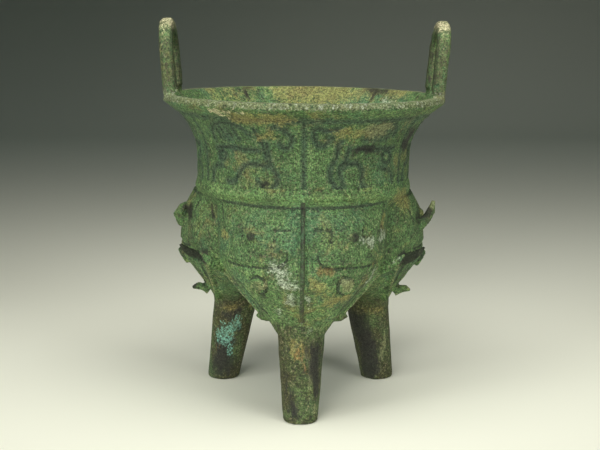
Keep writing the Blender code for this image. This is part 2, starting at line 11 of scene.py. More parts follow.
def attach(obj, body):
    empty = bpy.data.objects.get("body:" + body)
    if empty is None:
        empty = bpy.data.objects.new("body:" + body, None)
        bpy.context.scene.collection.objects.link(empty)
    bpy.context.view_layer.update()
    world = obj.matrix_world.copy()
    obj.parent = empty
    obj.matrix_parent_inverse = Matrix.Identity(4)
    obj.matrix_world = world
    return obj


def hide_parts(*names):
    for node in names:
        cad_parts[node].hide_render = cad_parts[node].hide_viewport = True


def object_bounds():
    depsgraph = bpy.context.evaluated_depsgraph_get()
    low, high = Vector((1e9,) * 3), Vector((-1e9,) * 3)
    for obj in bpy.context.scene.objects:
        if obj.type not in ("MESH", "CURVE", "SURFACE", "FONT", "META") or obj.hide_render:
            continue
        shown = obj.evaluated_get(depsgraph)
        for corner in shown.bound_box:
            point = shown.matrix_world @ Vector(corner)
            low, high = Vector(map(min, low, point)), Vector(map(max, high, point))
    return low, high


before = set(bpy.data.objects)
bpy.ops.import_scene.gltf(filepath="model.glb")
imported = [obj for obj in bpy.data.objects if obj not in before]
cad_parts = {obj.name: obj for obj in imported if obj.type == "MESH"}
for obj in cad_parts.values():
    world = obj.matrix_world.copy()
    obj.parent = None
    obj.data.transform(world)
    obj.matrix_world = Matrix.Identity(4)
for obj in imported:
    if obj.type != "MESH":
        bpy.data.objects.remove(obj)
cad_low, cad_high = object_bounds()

# Camera at the photograph's angle
CAMERA_PLACE = (-0.00299, -0.7309, 0.2358)
CAMERA_PITCH = math.radians(10.01)
CAMERA_LENS = 71.136
CAMERA_SENSOR = 36.0

# Casting, as in the part's source
LOBES = 3
LEAN = math.radians(0.7)
LEAN_SHIFT = -0.00282
NECK_RADIUS = 0.0652
NECK_FOOT = 0.1315
RIM_RADIUS = 0.086
RIM_HEIGHT = 0.1885
LIP_EDGE = 0.0038
FLARE_START = 0.140
FLARE_POWER = 3.4
BELLY_HEIGHT = 0.098
BELLY_CENTRE = 0.0300
BELLY_HALF = 0.0505
SHOULDER_TOP = 0.131
SHOULDER_CENTRE = 0.0100
SHOULDER_HALF = 0.0550
SHOULDER_POWER = 1.8
KEEL_HEIGHT = 0.060
KEEL_HALF = 0.0215
KEEL_DEEP = 0.0145
KEEL_CENTRE = 0.0470
KEEL_WIDENING = 0.95
KEEL_DEEPENING = 1.41
KEEL_DRAWING_IN = 0.59
KEEL_LIP_ANGLE = math.radians(80.0)
KEEL_LIP_TOP = 0.0900
LOBE_ROUNDING = 0.008
FLANGE_HALF = 0.0015
EYE_ANGLE = math.radians(34.0)
EYE_HEIGHT = 0.1125
EYE_RADIUS = 0.0042
BOSS_ANGLE = math.radians(34.5)
BOSS_HEIGHT = 0.0840
BOSS_RADIUS = 0.0058
LIP_FOOT = RIM_HEIGHT - LIP_EDGE
HANDLE_FOOT = RIM_HEIGHT + 0.001

# What counts as the skin of the neck and of the lobes: the way it faces, and how far it may be off
NECK_FACING = 0.1
NECK_SKIN = 0.0015
LOBE_FACING = -0.35
LOBE_SKIN = 0.0035
AXIS_GUARD = 1e-6

# Working surface
VOXEL = 0.0007
WELD_DISTANCE = 1e-6
SMOOTH_FACTOR = 0.5
SMOOTH_ROUNDS = 3
BASE_TRIANGLES = 84000
FINE_EDGE = 0.00085
FINE_ROUNDS = 2
FINE_TURN = math.radians(80.0)
MOST_TRIANGLES = 196000

# Neck frieze: distance along the neck from a mask's middle, and height; an eye has its radius too
FRIEZE_FOOT = 0.1385
FRIEZE_TOP = 0.1782
FRIEZE_MARGIN = 0.004
LINE_HALF = 0.00045
LINE_CORE = 0.5
LINE_SOFT = 0.00060
LINE_DEPTH = 0.00042
NECK_TRUING = 0.74
TRUING_FOOT = (FRIEZE_FOOT - 0.0030, FRIEZE_FOOT - 0.0012)
TRUING_TOP = (LIP_FOOT - 0.0025, LIP_FOOT)
FAR_GAP = 0.0040
DRAGON_LEFT = {
    "hook": (
        (0.0174, 0.1735), (0.0135, 0.1743), (0.0093, 0.1720), (0.0065, 0.1673),
        (0.0082, 0.1629), (0.0115, 0.1624), (0.0135, 0.1641),
    ),
    "crest": ((0.0262, 0.1722), (0.0255, 0.1690), (0.0232, 0.1650), (0.0222, 0.1600), (0.0205, 0.1545)),
    "body": (
        (0.0205, 0.1642), (0.0200, 0.1591), (0.0186, 0.1515), (0.0152, 0.1467),
        (0.0155, 0.1415), (0.0194, 0.1375), (0.0230, 0.1380), (0.0249, 0.1410), (0.0268, 0.1430),
    ),
    "leg": (
        (0.0205, 0.1512), (0.0295, 0.1522), (0.0353, 0.1509), (0.0385, 0.1477),
        (0.0407, 0.1432), (0.0440, 0.1408), (0.0480, 0.1412),
    ),
    "corner": ((0.0614, 0.1399), (0.0614, 0.1447), (0.0589, 0.1483), (0.0524, 0.1499)),
    "jaw": ((0.0262, 0.1600), (0.0340, 0.1604), (0.0440, 0.1612), (0.0560, 0.1600)),
    "horn": ((0.0300, 0.1690), (0.0360, 0.1745), (0.0460, 0.1752), (0.0545, 0.1710), (0.0560, 0.1650)),
}
DRAGON_RIGHT = {
    "hook": (
        (0.0172, 0.1733), (0.0116, 0.1727), (0.0077, 0.1740), (0.0050, 0.1718),
        (0.0061, 0.1666), (0.0087, 0.1636), (0.0126, 0.1648), (0.0145, 0.1691),
    ),
    "body": (
        (0.0205, 0.1660), (0.0191, 0.1621), (0.0187, 0.1570), (0.0159, 0.1520),
        (0.0148, 0.1470), (0.0171, 0.1419), (0.0198, 0.1385), (0.0234, 0.1380),
    ),
    "crest": ((0.0257, 0.1620), (0.0245, 0.1554), (0.0208, 0.1511), (0.0214, 0.1460), (0.0232, 0.1409)),
    "leg": (
        (0.0222, 0.1502), (0.0257, 0.1526), (0.0313, 0.1528), (0.0356, 0.1480),
        (0.0347, 0.1411), (0.0390, 0.1380),
    ),
    "corner": ((0.0600, 0.1405), (0.0595, 0.1450), (0.0560, 0.1480), (0.0500, 0.1490)),
    "jaw": ((0.0312, 0.1618), (0.0400, 0.1612), (0.0500, 0.1606), (0.0589, 0.1605)),
    "horn": (
        (0.0345, 0.1665), (0.0352, 0.1715), (0.0400, 0.1752), (0.0470, 0.1758),
        (0.0535, 0.1730), (0.0545, 0.1680),
    ),
}
HORN_STROKES = (0.0385, 0.0425, 0.0465, 0.0505)
STROKE_FOOT = 0.1662
STROKE_MIDDLE = 0.1700
STROKE_TOP = 0.1728
STROKE_SLANT = 0.0012
STROKE_BEND = 0.0008
LEFT_DRAGON_EYE = (0.0518, 0.1560, 0.0027)
RIGHT_DRAGON_EYE = (0.0532, 0.1557, 0.0036)
BORDER_FAINT = 0.0003
PATH_STEPS = 6

# Mask lines: distance along the skin from the middle of a mask, and height
MASK_LINES = {
    "brow": ((0.0068, 0.1172), (0.0120, 0.1170), (0.0158, 0.1168)),
    "inner_corner": ((0.0160, 0.1168), (0.0166, 0.1130), (0.0160, 0.1102)),
    "outer_corner": ((0.0372, 0.1160), (0.0380, 0.1130), (0.0374, 0.1104)),
    "panel_foot": ((0.0540, 0.0948), (0.0420, 0.0944), (0.0280, 0.0950), (0.0165, 0.0955)),
    "panel_curl": ((0.0165, 0.0955), (0.0115, 0.0972), (0.0090, 0.1005), (0.0082, 0.1040)),
    "jaw": ((0.0455, 0.0850), (0.0390, 0.0780), (0.0300, 0.0690), (0.0230, 0.0640)),
    "panel_side": ((0.0580, 0.1270), (0.0566, 0.1200), (0.0540, 0.1130)),
    "keel": ((0.0325, 0.0640), (0.0449, 0.0750), (0.0560, 0.0845), (0.0600, 0.0900)),
}
MASK_LINE_HALF = 0.00035
MASK_LINE_DEPTH = 0.00040
MASK_TOP = 0.1285
MASK_FOOT = 0.0640
PANEL_FOOT = 0.0975
PANEL_GROUND = 0.8
STUD_CORE = 0.5

# Paint of the lip and the handles: where it starts and ends, and its shares, with a painted highlight and
# painted shade on the handles' outer and inner faces
LIP_ACROSS = (RIM_RADIUS - 0.0075, RIM_RADIUS - 0.0050)
LIP_RISE = (LIP_FOOT - 0.0006, LIP_FOOT + 0.0010)
LIP_END = (RIM_HEIGHT + 0.0010, RIM_HEIGHT + 0.0040)
LIP_PALE = 0.62
LIP_CHALK = 0.34
LIP_DARK = 0.36
HANDLE_TOP = (RIM_HEIGHT + 0.0310, RIM_HEIGHT + 0.0430)
HANDLE_OUTWARD = (0.3, 0.9)
HANDLE_INWARD = -0.4
HANDLE_PALE = 0.72
HANDLE_MOTTLE = 0.34
HANDLE_OCHRE = 0.40
HANDLE_CREAM = 0.52
# Painted highlight on the handles' outward faces and painted shade on their inward faces
HANDLE_OUTER_HIGHLIGHT = 0.20
HANDLE_INNER_SHADE = 0.52
# Darker stems on the handles
HANDLE_STEM_DARK = 0.455

# Paint of the flanges, studs, keels and hollows, with painted highlights along flange edges and keel
# crests and painted shade in the hollows between the lobes
FLANGE_EDGE = 0.0006
FLANGE_SHOWN = 0.0008
FLANGE_HEAD = NECK_FOOT - 0.0035
FLANGE_HEAD_HALF = 0.0034
FLANGE_DARK = 0.56
# Share of the painted highlight along the flanges' right edge
FLANGE_HIGHLIGHT = 0.46
# Painted highlight along the crest of each keel's lip: its width and share
KEEL_LIP_WIDTH = math.radians(3.0)
KEEL_HIGHLIGHT = 0.62
LEFT_EYE_DARK = 0.66
RIGHT_EYE_DARK = 0.60
BOSS_PALE = 0.50
# Painted shade in the hollows between the lobes: how far round, which way facing, from what height, and
# its share
RECESS_TURN = (math.radians(84.0), math.radians(97.0))
RECESS_FACING = -0.5
RECESS_FOOT = KEEL_HEIGHT - 0.006
RECESS_SHADE = 0.37

# Outer skin, whose lines fade towards the lobes' far sides
OUTSIDE_FACING = (0.0, 0.3)
SIDE_FADE_ANGLE = (math.radians(40.0), math.radians(54.0))
SIDE_FADE = 0.6
MILLIMETRES = 1000.0

# Weathering of the surface
FIELD_SEED_STEPS = (3.17, 1.31, 2.23)
FIELD_FALL = 1.0
FIELD_STEP = 2.0
FIELD_DETAIL = 3
SWELL_SIZE = 0.011
SWELL_SEED = 1.0
SWELL_DEPTH = 0.00022
HANDLE_SWELL = 0.00030
CRUST_SIZE = 0.0034
CRUST_SEED = 2.0
CRUST_DETAIL = 4
CRUST_DEPTH = 0.00022
CHIP_SIZE = 0.0052
CHIP_SEED = 3.0
CHIP_START = 0.12
CHIP_DEPTH = 0.00085
CHIP_ACROSS = (RIM_RADIUS - 0.0035, RIM_RADIUS - 0.0008)
CHIP_RISE = (LIP_FOOT - 0.002, LIP_FOOT)

# Patches of the patina, and some painted shade and painted highlights, each a soft capsule from a start to
# an end with a radius
PATCHES = {
    "chalk": (
        ((-0.0175, -0.0780, 0.0950), (-0.0120, -0.0795, 0.0940), 0.0036),
        ((-0.0120, -0.0800, 0.0900), (-0.0085, -0.0800, 0.0860), 0.0036),
        ((-0.0085, -0.0755, 0.0780), (-0.0065, -0.0735, 0.0740), 0.0034),
        ((-0.0135, -0.0640, 0.0665), (-0.0118, -0.0620, 0.0632), 0.0019),
        ((0.0330, -0.0665, 0.1100), (0.0375, -0.0620, 0.1068), 0.0030),
        ((0.0375, -0.0620, 0.1068), (0.0480, -0.0460, 0.1105), 0.0019),
        ((0.0405, -0.0570, 0.0900), (0.0357, -0.0540, 0.0803), 0.0017),
        ((0.0470, -0.0490, 0.0880), (0.0540, -0.0490, 0.0945), 0.0016),
        ((0.0510, -0.0440, 0.0900), (0.0560, -0.0440, 0.0960), 0.0014),
        ((-0.0070, -0.0660, 0.0590), (-0.0030, -0.0650, 0.0570), 0.0024),
        ((0.0020, -0.0650, 0.0575), (0.0060, -0.0640, 0.0560), 0.0022),
        ((0.0010, -0.0770, 0.0860), (0.0015, -0.0700, 0.0690), 0.0014),
    ),
    "ochre": (
        ((-0.0120, 0.0770, 0.1850), (0.0260, 0.0740, 0.1840), 0.0110),
        ((-0.0600, 0.0500, 0.1850), (-0.0350, 0.0690, 0.1850), 0.0050),
        ((0.0400, 0.0660, 0.1850), (0.0640, 0.0450, 0.1850), 0.0056),
        ((-0.0400, -0.0690, 0.1800), (-0.0100, -0.0775, 0.1795), 0.0044),
        ((-0.0240, -0.0650, 0.1690), (-0.0200, -0.0660, 0.1720), 0.0034),
        ((0.0150, -0.0700, 0.0740), (0.0230, -0.0640, 0.0740), 0.0040),
        ((0.0470, -0.0460, 0.1190), (0.0440, -0.0500, 0.1130), 0.0024),
        ((0.0405, -0.0574, 0.0951), (0.0450, -0.0530, 0.0940), 0.0020),
        ((0.0560, -0.0320, 0.1300), (0.0610, -0.0180, 0.1240), 0.0048),
        ((0.0190, -0.0690, 0.1710), (0.0330, -0.0620, 0.1720), 0.0036),
        ((-0.0480, -0.0500, 0.1120), (-0.0450, -0.0540, 0.1090), 0.0022),
        ((-0.0420, 0.0180, 0.0520), (-0.0480, 0.0140, 0.0510), 0.0044),
        ((0.0420, 0.0150, 0.0520), (0.0460, 0.0200, 0.0500), 0.0040),
        ((-0.0080, -0.0620, 0.0470), (0.0020, -0.0640, 0.0440), 0.0030),
        ((0.0130, -0.0715, 0.0770), (0.0225, -0.0624, 0.0740), 0.0036),
        ((0.0060, -0.0810, 0.0880), (0.0100, -0.0780, 0.0810), 0.0040),
    ),
    "dark": (
        ((0.0072, -0.0640, 0.0440), (0.0080, -0.0650, 0.0290), 0.0064),
        ((0.0088, -0.0640, 0.0270), (0.0098, -0.0650, 0.0140), 0.0036),
        ((-0.0520, 0.0164, 0.0255), (-0.0547, 0.0180, 0.0095), 0.0064),
        ((-0.0430, 0.0125, 0.0480), (-0.0490, 0.0120, 0.0450), 0.0042),
        ((0.0350, 0.0180, 0.0420), (0.0400, 0.0180, 0.0260), 0.0070),
        ((0.0412, 0.0172, 0.0240), (0.0434, 0.0190, 0.0070), 0.0066),
        # Painted shadow in the creases between the front lobe and the side lobes, below the ears
        ((-0.0566, -0.0265, 0.1225), (-0.0541, -0.0285, 0.1167), 0.0016),
        ((-0.0541, -0.0290, 0.1167), (-0.0503, -0.0430, 0.1147), 0.0012),
        ((0.0542, -0.0270, 0.1203), (0.0498, -0.0300, 0.1144), 0.0014),
        ((0.0480, -0.0330, 0.1144), (0.0449, -0.0495, 0.1130), 0.0010),
        ((0.0420, 0.0640, 0.1850), (0.0520, 0.0570, 0.1850), 0.0044),
        ((-0.0235, -0.0640, 0.1420), (-0.0200, -0.0650, 0.1450), 0.0026),
        ((-0.0440, 0.0640, 0.1850), (-0.0300, 0.0690, 0.1830), 0.0046),
        ((0.0600, -0.0290, 0.1610), (0.0640, -0.0300, 0.1680), 0.0050),
        ((-0.0439, 0.0143, 0.0351), (-0.0430, 0.0150, 0.0330), 0.0018),
        # Painted shade on the shaded faces of the cheek blades and of the right ear
        ((-0.0620, -0.0210, 0.0915), (-0.0750, -0.0270, 0.0990), 0.0050),
        ((0.0610, -0.0210, 0.0900), (0.0720, -0.0270, 0.0975), 0.0052),
        ((0.0690, -0.0040, 0.1090), (0.0755, -0.0070, 0.1165), 0.0042),
        ((-0.0640, 0.0010, 0.0660), (-0.0710, 0.0060, 0.0650), 0.0026),
        # Painted shade in the hollow of the bent left ear
        ((-0.0695, -0.0090, 0.1150), (-0.0712, -0.0090, 0.1190), 0.0044),
        ((0.0280, -0.0630, 0.1590), (0.0420, -0.0560, 0.1590), 0.0034),
        ((-0.0085, -0.0650, 0.0110), (-0.0060, -0.0671, 0.0070), 0.0032),
        ((-0.0100, -0.0600, 0.0300), (-0.0070, -0.0630, 0.0200), 0.0030),
    ),
    "turquoise": (
        ((-0.0450, 0.0137, 0.0385), (-0.0500, 0.0146, 0.0350), 0.0034),
        ((-0.0525, 0.0150, 0.0340), (-0.0540, 0.0157, 0.0301), 0.0040),
        ((-0.0505, 0.0152, 0.0290), (-0.0500, 0.0155, 0.0275), 0.0024),
        ((-0.0482, 0.0164, 0.0208), (-0.0478, 0.0164, 0.0185), 0.0022),
    ),
    "pale": (
        ((0.0380, -0.0615, 0.1715), (0.0450, -0.0560, 0.1720), 0.0052),
        ((0.0242, -0.0747, 0.0854), (0.0255, -0.0740, 0.0850), 0.0042),
        ((-0.0262, -0.0751, 0.0849), (-0.0240, -0.0760, 0.0860), 0.0024),
        ((0.0023, -0.0636, 0.0420), (0.0035, -0.0650, 0.0200), 0.0016),
        ((0.0064, -0.0640, 0.0063), (0.0030, -0.0670, 0.0100), 0.0024),
        ((0.0518, 0.0173, 0.0300), (0.0506, 0.0174, 0.0174), 0.0028),
        ((0.0500, 0.0180, 0.0060), (0.0480, 0.0184, 0.0042), 0.0022),
        # A painted highlight in the bent left ear
        ((-0.0693, -0.0129, 0.1159), (-0.0700, -0.0120, 0.1150), 0.0012),
        ((0.0790, -0.0070, 0.1185), (0.0805, -0.0076, 0.1240), 0.0026),
    ),
    "rust": (
        ((0.0100, -0.0795, 0.0950), (0.0145, -0.0785, 0.0950), 0.0024),
        ((-0.0075, -0.0660, 0.0530), (-0.0020, -0.0670, 0.0530), 0.0020),
        ((0.0020, -0.0670, 0.0520), (0.0060, -0.0660, 0.0530), 0.0018),
        ((-0.0579, 0.0184, 0.0270), (-0.0570, 0.0170, 0.0230), 0.0018),
        ((-0.0030, -0.0643, 0.0450), (-0.0025, -0.0645, 0.0400), 0.0018),
        ((-0.0020, -0.0660, 0.0380), (0.0000, -0.0660, 0.0330), 0.0016),
        ((-0.0600, 0.0170, 0.0300), (-0.0590, 0.0180, 0.0230), 0.0022),
    ),
    "cream": (
        ((-0.0530, -0.0650, 0.1836), (-0.0360, -0.0755, 0.1826), 0.0017),
        ((-0.0480, -0.0670, 0.1815), (-0.0440, -0.0670, 0.1780), 0.0014),
    ),
}

# How the patches' edges are shifted: the size of a noise, and its reach
PATCH_WARPS = ((0.0070, 0.0036), (0.0022, 0.0008))
WARP_SEED = 20.0

# More patches on the sides and back, which the photograph doesn't show
STRAY_PATCHES = {"chalk": 8, "ochre": 8, "dark": 7, "turquoise": 2, "rust": 3}
STRAY_SEED = 7
STRAY_RADIUS = (0.0018, 0.0055)
STRAY_LENGTH = 0.010
STRAY_FRONT = 0.012
STRAY_FACING = 0.1
STRAY_TOP = 0.175

# Colours, as linear values
DARK_OLIVE = (0.052, 0.088, 0.036, 1.0)
MID_GREEN = (0.116, 0.232, 0.074, 1.0)
LIGHT_GREEN = (0.240, 0.405, 0.138, 1.0)
BLUE_GREEN = (0.084, 0.215, 0.100, 1.0)
INLAY_GREEN = (0.062, 0.105, 0.070, 1.0)
LINE_GREY = (0.045, 0.062, 0.040, 1.0)
LEG_OLIVE = (0.064, 0.064, 0.022, 1.0)
BAND_HIGHLIGHT_GREEN = (0.200, 0.340, 0.105, 1.0)
WARM_SPECK = (0.340, 0.290, 0.180, 1.0)
CAVITY_BROWN = (0.030, 0.034, 0.018, 1.0)
OCHRE = (0.350, 0.290, 0.095, 1.0)
RUST = (0.235, 0.110, 0.040, 1.0)
DARK_BROWN = (0.052, 0.045, 0.036, 1.0)
BARE_DARK_AND_SHADE = (0.027, 0.027, 0.021, 1.0)
TURQUOISE = (0.200, 0.440, 0.330, 1.0)
PALE_TAN_AND_HIGHLIGHT = (0.270, 0.285, 0.135, 1.0)
CHALK = (0.520, 0.590, 0.430, 1.0)
CREAM = (0.640, 0.580, 0.350, 1.0)
FLOOR_COLOUR = (0.900, 0.900, 0.760, 1.0)

# Patches in the order they are laid on. The bounded ones never show far outside their capsules
Layer = namedtuple("Layer", "patch weight spread soft strength colour bounded", defaults=(False,))
LAYERS = (
    Layer("ochre", 1.0, 2.8, 0.28, 0.55, OCHRE),
    # The pale layer also carries painted highlights, and the dark layer painted shade
    Layer("pale", 1.0, 2.0, 0.20, 0.76, PALE_TAN_AND_HIGHLIGHT),
    Layer("dark", 1.0, 1.6, 0.20, 0.92, BARE_DARK_AND_SHADE),
    Layer("rust", 1.0, 2.0, 0.22, 0.50, RUST),
    Layer("turquoise", 0.94, 3.0, 0.22, 0.86, TURQUOISE, bounded=True),
    Layer("chalk", 0.84, 3.2, 0.26, 0.74, CHALK, bounded=True),
    Layer("cream", 1.0, 1.8, 0.18, 0.80, CREAM, bounded=True),
)
PATCH_EDGE = 0.50

# Noises of the patina, over the casting's own coordinates in metres
Noise = namedtuple("Noise", "scale detail roughness distortion shifted", defaults=(0.0, False))
NOISES = {
    "broad": Noise(55.0, 5.0, 0.62, 0.4),
    "middle": Noise(210.0, 6.0, 0.68, 0.3),
    "fine": Noise(700.0, 4.0, 0.75),
    "grain": Noise(1250.0, 2.0, 0.65),
    "blue": Noise(34.0, 7.0, 0.72, 0.8),
    "olive": Noise(46.0, 8.0, 0.78, 0.6, shifted=True),
    "freckle": Noise(620.0, 3.0, 0.70, shifted=True),
}
NOISE_SHIFT = (0.3, 0.7, 0.1)
TONE_SHARES = {"broad": 0.40, "middle": 0.60}
RAGGED_SHARES = {"middle": 0.60, "fine": 0.60}
RAGGED_MIDDLE = 0.60

# How noises, and distances in millimetres, turn into shares: start, end, and the share at each
RAMPS = {
    "mid_green": (0.37, 0.51),
    "light_green": (0.50, 0.66),
    "blue_green": (0.50, 0.62, 0.0, 0.60),
    "olive": (0.52, 0.66, 0.0, 0.50),
    "leg": (64.0, 76.0, 0.92, 0.0),
    "leg_mottle": (0.40, 0.62, 1.0, 0.58),
    "dark_freckle": (0.53, 0.62, 0.0, 0.72),
    "warm_freckle": (0.38, 0.46, 0.42, 0.0),
    "band": (1.6, 4.0, 0.30, 0.0),
    "thunder": (-0.2, 0.6),
    "thunder_wear": (0.38, 0.60),
    "frieze_line": (0.35, 0.95, 1.0, 0.0),
    "frieze_halo": (0.8, 3.2, 1.0, 0.0),
    "mask_line": (0.40, 1.00, 1.0, 0.0),
    "ledge_shadow": (0.3, 1.1, 1.0, 0.0),
    "line_wear": (0.34, 0.48, 0.45, 1.0),
    "patch_bound": (0.05, 0.30),
    "turquoise_mottle": (0.42, 0.58, 0.35, 1.0),
    "pit": (0.10, 0.28, 1.0, 0.0),
    "pit_place": (0.44, 0.56),
    "speckle": (0.30, 0.72, 0.24, 1.48),
    "sparkle": (0.30, 0.70, 0.40, 1.66),
    "roughness": (0.3, 0.7, 0.58, 0.86),
}

# Ornament in the material: heights and lengths in millimetres, and shares of colour
LEG_RAGGED = 22.0
# A lighter green band just above the ledge: a painted highlight along the lip, laid over the ledge's own
# shade
BAND_MIDDLE = NECK_FOOT * MILLIMETRES + 0.9
# Height of the painted shadow line under the ledge, and how much it wobbles
LEDGE_SHADOW_HEIGHT = NECK_FOOT * MILLIMETRES - 2.9
LEDGE_SHADOW_WOBBLE = 0.6
LINE_WOBBLE = 1.4
THUNDER_CELL = 4.8
THUNDER_TURNS = 5.0
THUNDER_SHARE = 0.46
FRIEZE_LINE_SHARE = 0.72
LINE_SHARE = 0.84
HALO_SHARE = 0.66
PIT_SCALE = 330.0
PIT_SHARE = 0.60

# Gloss and bump
CHALK_ROUGHNESS = 0.12
DARK_POLISH = 0.16
BRONZE_SPECULAR = 0.32
BUMP_SHARES = {
    "middle": 0.60, "fine": 0.55, "grain": 0.18,
    "pit": -0.35, "lines": -0.35, "thunder": 0.26, "chalk": 0.22,
}
BUMP_STRENGTH = 0.95
BUMP_DISTANCE = 0.0014

# Stage
FLOOR_HALF_WIDTH = 3.0
FLOOR_FRONT = -2.5
FLOOR_BEND = 1.6
BEND_RADIUS = 0.8
WALL_TOP = 2.2
BEND_STEPS = 16
PAPER_ROUGHNESS = 0.9
PAPER_TOOTH = Noise(900.0, 2.0, 0.5)
PAPER_TOOTH_RANGE = (0.3, 0.7)
PAPER_TOOTH_REACH = 0.03
PAPER_SPECULAR = 0.1

# Lights, each with its place, what it faces, its size, power, spread in degrees and colour
VESSEL_MIDDLE = (0.0, 0.0, 0.11)
Softbox = namedtuple("Softbox", "name place target width depth power spread colour")
SOFTBOXES = (
    Softbox(
        "top_light", place=(0.02, -0.24, 0.85), target=(0.01, -0.14, 0.0),
        width=0.90, depth=0.50, power=4.7, spread=150.0, colour=(1.0, 0.99, 0.95),
    ),
    Softbox(
        "front_light", place=(-0.30, -1.05, 0.50), target=VESSEL_MIDDLE,
        width=0.70, depth=0.70, power=0.80, spread=45.0, colour=(1.0, 1.0, 0.98),
    ),
    Softbox(
        "right_light", place=(0.75, -0.80, 0.40), target=VESSEL_MIDDLE,
        width=0.50, depth=0.70, power=0.42, spread=45.0, colour=(0.97, 0.99, 1.0),
    ),
    Softbox(
        "left_light", place=(-0.80, -0.60, 0.40), target=VESSEL_MIDDLE,
        width=0.50, depth=0.70, power=0.40, spread=45.0, colour=(0.97, 0.99, 1.0),
    ),
    Softbox(
        "far_light", place=(0.0, 1.40, 1.10), target=(0.0, 1.45, 0.0),
        width=1.60, depth=0.50, power=0.30, spread=120.0, colour=(0.82, 1.0, 1.0),
    ),
)
ROOM_COLOUR = (0.55, 0.82, 0.84, 1.0)
ROOM_STRENGTH = 0.026


def levelled(points):
    """Points moved from the leaning casting's frame to one where its axis stands upright."""
    moved = points - np.array((LEAN_SHIFT, 0.0, 0.0))
    across = moved[:, 0] * math.cos(LEAN) - moved[:, 2] * math.sin(LEAN)
    height = moved[:, 0] * math.sin(LEAN) + moved[:, 2] * math.cos(LEAN)
    return np.column_stack((across, moved[:, 1], height))


def leaned(points):
    """Points moved back to the leaning casting's frame."""
    across = points[:, 0] * math.cos(LEAN) + points[:, 2] * math.sin(LEAN)
    height = points[:, 2] * math.cos(LEAN) - points[:, 0] * math.sin(LEAN)
    return np.column_stack((across + LEAN_SHIFT, points[:, 1], height))


def smooth_step(value, start, end):
    """A share that rises smoothly from 0 at start to 1 at end."""
    share = np.clip((value - start) / (end - start), 0.0, 1.0)
    return share * share * (3.0 - 2.0 * share)


def soft_least(first, second, rounding):
    """The smaller of two values, with the corner between them rounded."""
    overlap = np.maximum(rounding - np.abs(first - second), 0.0)
    return np.minimum(first, second) - overlap * overlap / (4.0 * rounding)


def neck_radius(height):
    """The neck's outer radius at a height."""
    share = np.clip((height - FLARE_START) / (LIP_FOOT - FLARE_START), 0.0, None)
    return NECK_RADIUS + (RIM_RADIUS - NECK_RADIUS) * share ** FLARE_POWER


def lobe_section(height):
    """A lobe's level section: its centre's distance out, half width across and half depth outward."""
    rise = np.clip((height - BELLY_HEIGHT) / (SHOULDER_TOP - BELLY_HEIGHT), 0.0, 1.0)
    fullness = (1.0 - rise ** SHOULDER_POWER) ** (1.0 / SHOULDER_POWER)
    upper_centre = SHOULDER_CENTRE + (BELLY_CENTRE - SHOULDER_CENTRE) * fullness
    upper_half = SHOULDER_HALF + (BELLY_HALF - SHOULDER_HALF) * fullness
    drop = height - KEEL_HEIGHT
    across = soft_least(BELLY_HALF, KEEL_HALF + KEEL_WIDENING * drop, LOBE_ROUNDING)
    deep = soft_least(BELLY_HALF, KEEL_DEEP + KEEL_DEEPENING * drop, LOBE_ROUNDING)
    centre = -soft_least(-BELLY_CENTRE, KEEL_DRAWING_IN * drop - KEEL_CENTRE, LOBE_ROUNDING)
    upper = height > BELLY_HEIGHT
    return (
        np.where(upper, upper_centre, centre),
        np.where(upper, upper_half, np.maximum(across, KEEL_DEEP)),
        np.where(upper, upper_half, np.maximum(deep, KEEL_DEEP)),
    )


def mesh_points(mesh):
    """A mesh's vertex places as an array."""
    values = np.empty(len(mesh.vertices) * 3, np.float32)
    mesh.vertices.foreach_get("co", values)
    return values.reshape(-1, 3).astype(float)


def mesh_normals(mesh):
    """A mesh's vertex normals as an array."""
    values = np.empty(len(mesh.vertices) * 3, np.float32)
    mesh.vertex_normals.foreach_get("vector", values)
    return values.reshape(-1, 3).astype(float)


def set_points(mesh, points):
    """Moves a mesh's vertices to the places in an array."""
    mesh.vertices.foreach_set("co", points.astype(np.float32).ravel())
    mesh.update()


def apply_modifiers(piece):
    """Turns a piece's modifiers into its mesh."""
    graph = bpy.context.evaluated_depsgraph_get()
    finished = bpy.data.meshes.new_from_object(piece.evaluated_get(graph))
    piece.modifiers.clear()
    piece.data = finished


def add_modifier(piece, kind, **settings):
    """A modifier with its settings."""
    modifier = piece.modifiers.new(kind.lower(), kind)
    for name, value in settings.items():
        setattr(modifier, name, value)


def triangle_count(mesh):
    """How many triangles a mesh has."""
    mesh.calc_loop_triangles()
    return len(mesh.loop_triangles)


class Place:
    """Where each vertex lies on the upright casting, seen from its nearest lobe."""

    def __init__(self, mesh):
        points = levelled(mesh_points(mesh))
        self.height = points[:, 2]
        self.radius = np.hypot(points[:, 0], points[:, 1])
        turn = np.arctan2(points[:, 0], -points[:, 1])
        self.lobe = np.round(turn * LOBES / (2.0 * math.pi))
        self.angle = turn - self.lobe * 2.0 * math.pi / LOBES
        self.along = self.angle * NECK_RADIUS
        radial = points[:, :2] / np.maximum(self.radius, AXIS_GUARD)[:, None]
        self.facing = (mesh_normals(mesh)[:, :2] * radial).sum(axis=1)
        centre, across, deep = lobe_section(self.height)
        out = self.radius * np.cos(self.angle) - centre
        self.side = self.radius * np.sin(self.angle)
        self.turn = np.arctan2(self.side / across, out / deep)
        self.stand = (np.hypot(self.side / across, out / deep) - 1.0) * deep
        self.skin = self.turn * across
        self.on_neck = (
            (self.facing > NECK_FACING)
            & (self.radius > neck_radius(self.height) - NECK_SKIN)
            & self.between(NECK_FOOT, LIP_FOOT)
        )
        self.on_lobe = (
            (np.abs(self.stand) < LOBE_SKIN)
            & (self.facing > LOBE_FACING)
            & self.between(KEEL_HEIGHT, SHOULDER_TOP)
        )

    def between(self, foot, top):
        """Which vertices lie between two heights."""
        return (self.height > foot) & (self.height < top)


